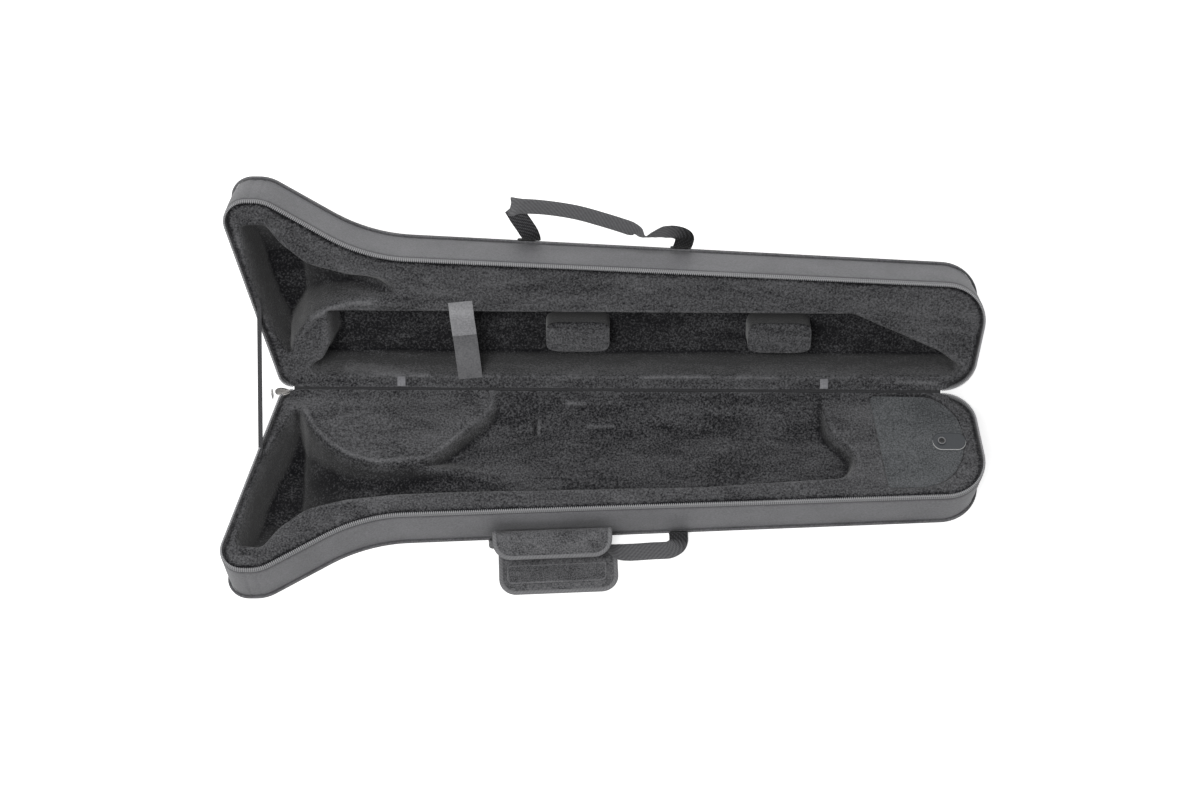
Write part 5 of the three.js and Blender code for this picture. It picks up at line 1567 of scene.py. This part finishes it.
class Flap:
    """One of the wrap's flaps: its profile out from near, its centre, corners and thickness."""

    def __init__(self, side, profile, near, centre, corner, thickness):
        self.side, self.near, self.centre = side, near, centre
        self.corner, self.thickness = corner, thickness
        self.length = lengths_along(np.array(profile, float))[-1]
        self.line = spline([(out, lift, 0) for out, lift in profile], FINE)[:, :2]

    def along(self, shares):
        """Out, lift and normal of the flap's middle line at shares of its length."""
        ahead = np.gradient(resample(self.line, FINE), axis=0)
        turn = np.stack([np.interp(shares, FINE, column) for column in ahead.T], axis=1)
        turn /= np.linalg.norm(turn, axis=1, keepdims=True)
        return resample(self.line, shares), np.stack([-turn[:, 1], turn[:, 0]], axis=1)

    def placed(self, x, way, normal, push):
        """Points in the frame: across the middle line by push, and x along the seam."""
        out = self.near + way[:, :1] + normal[:, :1] * push
        lift = way[:, 1:] + normal[:, 1:] * push
        return on_base(beside_seam(self.centre + np.broadcast_to(x, out.shape), out, lift))

    def fleece(self):
        """Padded cloth: closed sections across the flap, lofted along its profile."""
        shares = np.concatenate([[0, 0.004], np.linspace(0.02, 0.98, 56), [0.996, 1]])
        way, normal = self.along(shares)
        beyond = np.clip((shares - 1) * self.length + self.corner, 0, self.corner)
        half = WRAP_LENGTH / 2 - (self.corner - np.sqrt(self.corner ** 2 - beyond ** 2))
        angle = turns(128)
        fullness = np.clip(np.sin(math.pi * shares), 0.01, 1) ** 0.25 * self.thickness / 2
        points = self.placed(half[:, None] * squared(np.cos(angle), 0.35), way, normal,
                             fullness[:, None] * squared(np.sin(angle), 0.4))
        made = tube(f"wrap_{self.side}_fleece", points, fleece, f"wrap_{self.side}",
                    [f"handle_wrap_{self.side}"], "wrap_cloth",
                    tone=np.full(points.shape[:2], 0.15))

    def binding(self):
        """A flat oval carried round the flap's edge, just in from it."""
        half = WRAP_LENGTH / 2
        loop = rounded([(-half, 0, 2.0), (-half, self.length, self.corner),
                        (half, self.length, self.corner), (half, 0, 2.0)], 14)
        loop = resample(np.vstack([loop, loop[:1]]), np.arange(220) / 220)
        angle = turns(12)
        reach = BIND_REACH + BIND_HALF * np.cos(angle)
        edge = loop[:, None] + inward(loop, True)[:, None] * reach[None, :, None]
        up = edge[..., 1].ravel()
        way, normal = self.along(np.clip(up / self.length, 0, 1))
        past = np.clip(up - self.length, 0, None) - np.clip(-up, 0, None)
        way = way + np.stack([normal[:, 1], -normal[:, 0]], axis=1) * past[:, None]
        push = np.tile((self.thickness / 2 + 0.5) * np.sin(angle), len(loop))[:, None]
        points = self.placed(edge[..., :1].reshape(-1, 1), way, normal, push)
        return tube(f"wrap_{self.side}_binding", points.reshape(len(loop), 12, 3),
                    binding_tape, f"wrap_{self.side}", (), "wrap_cloth", ring=True,
                    along=np.arange(len(loop) + 1) * 2.0, across=np.arange(13) * 1.3)


LOWER_NEAR = GRIP_OUT + WEBBING_THICKNESS / 2 + CLEARANCE
LOWER_CENTRE = WRAP_CENTRE + 7
UPPER = Flap("upper", [(0, 31.4), (-1.5, 38), (-1.5, 45), (2, 48.5), (9, 47.5), (20, 41.5),
                       (33, 33.5)], SPINE_FAR - 0.5, WRAP_CENTRE, 24, 2.6)
LOWER = Flap("lower", [(0, 2.2), (12, 1.9), (35, 1.9), (66, 1.9)], LOWER_NEAR, LOWER_CENTRE,
             22, 2.4)
for side in (UPPER, LOWER):
    side.fleece()
    side.binding()


def spine_body():
    """A standing plate: a rounded section of out and height carried along the seam."""
    angle = turns(32)
    out = (SPINE_NEAR + SPINE_FAR) / 2 + WRAP_THICKNESS / 2 * squared(np.cos(angle), SPINE_POWER)
    lift = SPINE_FOOT + SPINE_HEIGHT / 2 * (1 + squared(np.sin(angle), SPINE_POWER))
    x = np.linspace(WRAP_CENTRE - WRAP_LENGTH / 2, WRAP_END, 60)[:, None]
    points = np.stack([x + 0 * out, front_width(x) + out, lift - depth_at(x)], axis=-1)
    made = tube("wrap_spine_fleece", on_base(points), fleece, "base_handle",
                ["handle_wrap_spine"], "wrap_cloth")


def over_floor(lift):
    """A height over the outer face, as a function of the plan."""
    return lambda plan: lift - depth_at(plan[..., 0])


def hook_strip():
    """The hook tape on the lower flap: a plate with pale sewn edges."""
    length, near, far = WRAP_LENGTH - 24, LOWER_NEAR + 25, LOWER_NEAR + 52
    left, right = LOWER_CENTRE - length / 2, LOWER_CENTRE + length / 2

    def corners(inset):
        return [(left + inset, front_width(left) + near + inset, 3.0),
                (left + inset, front_width(left) + far - inset, 7.0),
                (right - inset, front_width(right) + far - inset, 7.0),
                (right - inset, front_width(right) + near + inset, 3.0)]

    def sewn(plan):
        return 1.5 * np.exp(-(inside_distance(plan, rounded(corners(1.2), 6)) / 0.9) ** 2) + 0.2

    return soft_plate("wrap_hook_tape", corners, over_floor(3.0), over_floor(4.2), 0.2, on_base,
                      hook_tape, "wrap_lower", ["wrap_hook_strip"], "fastener_tape", edge=0.3,
                      along_count=110, across_count=34, tone_of=sewn)


def loop_strip():
    """The loop tape under the upper flap, which follows the flap's profile."""
    angle = turns(64)
    points = UPPER.placed((WRAP_LENGTH / 2 - 20) * squared(np.cos(angle), 0.3),
                          *UPPER.along(np.linspace(0.55, 0.86, 14)),
                          -2.0 + 0.5 * squared(np.sin(angle), 0.3)[None])
    return tube("wrap_loop_tape", points, hook_tape, "wrap_upper", ["wrap_loop_strip"],
                "fastener_tape", tone=np.full(points.shape[:2], 0.2))


spine_body()
hook_strip()
loop_strip()
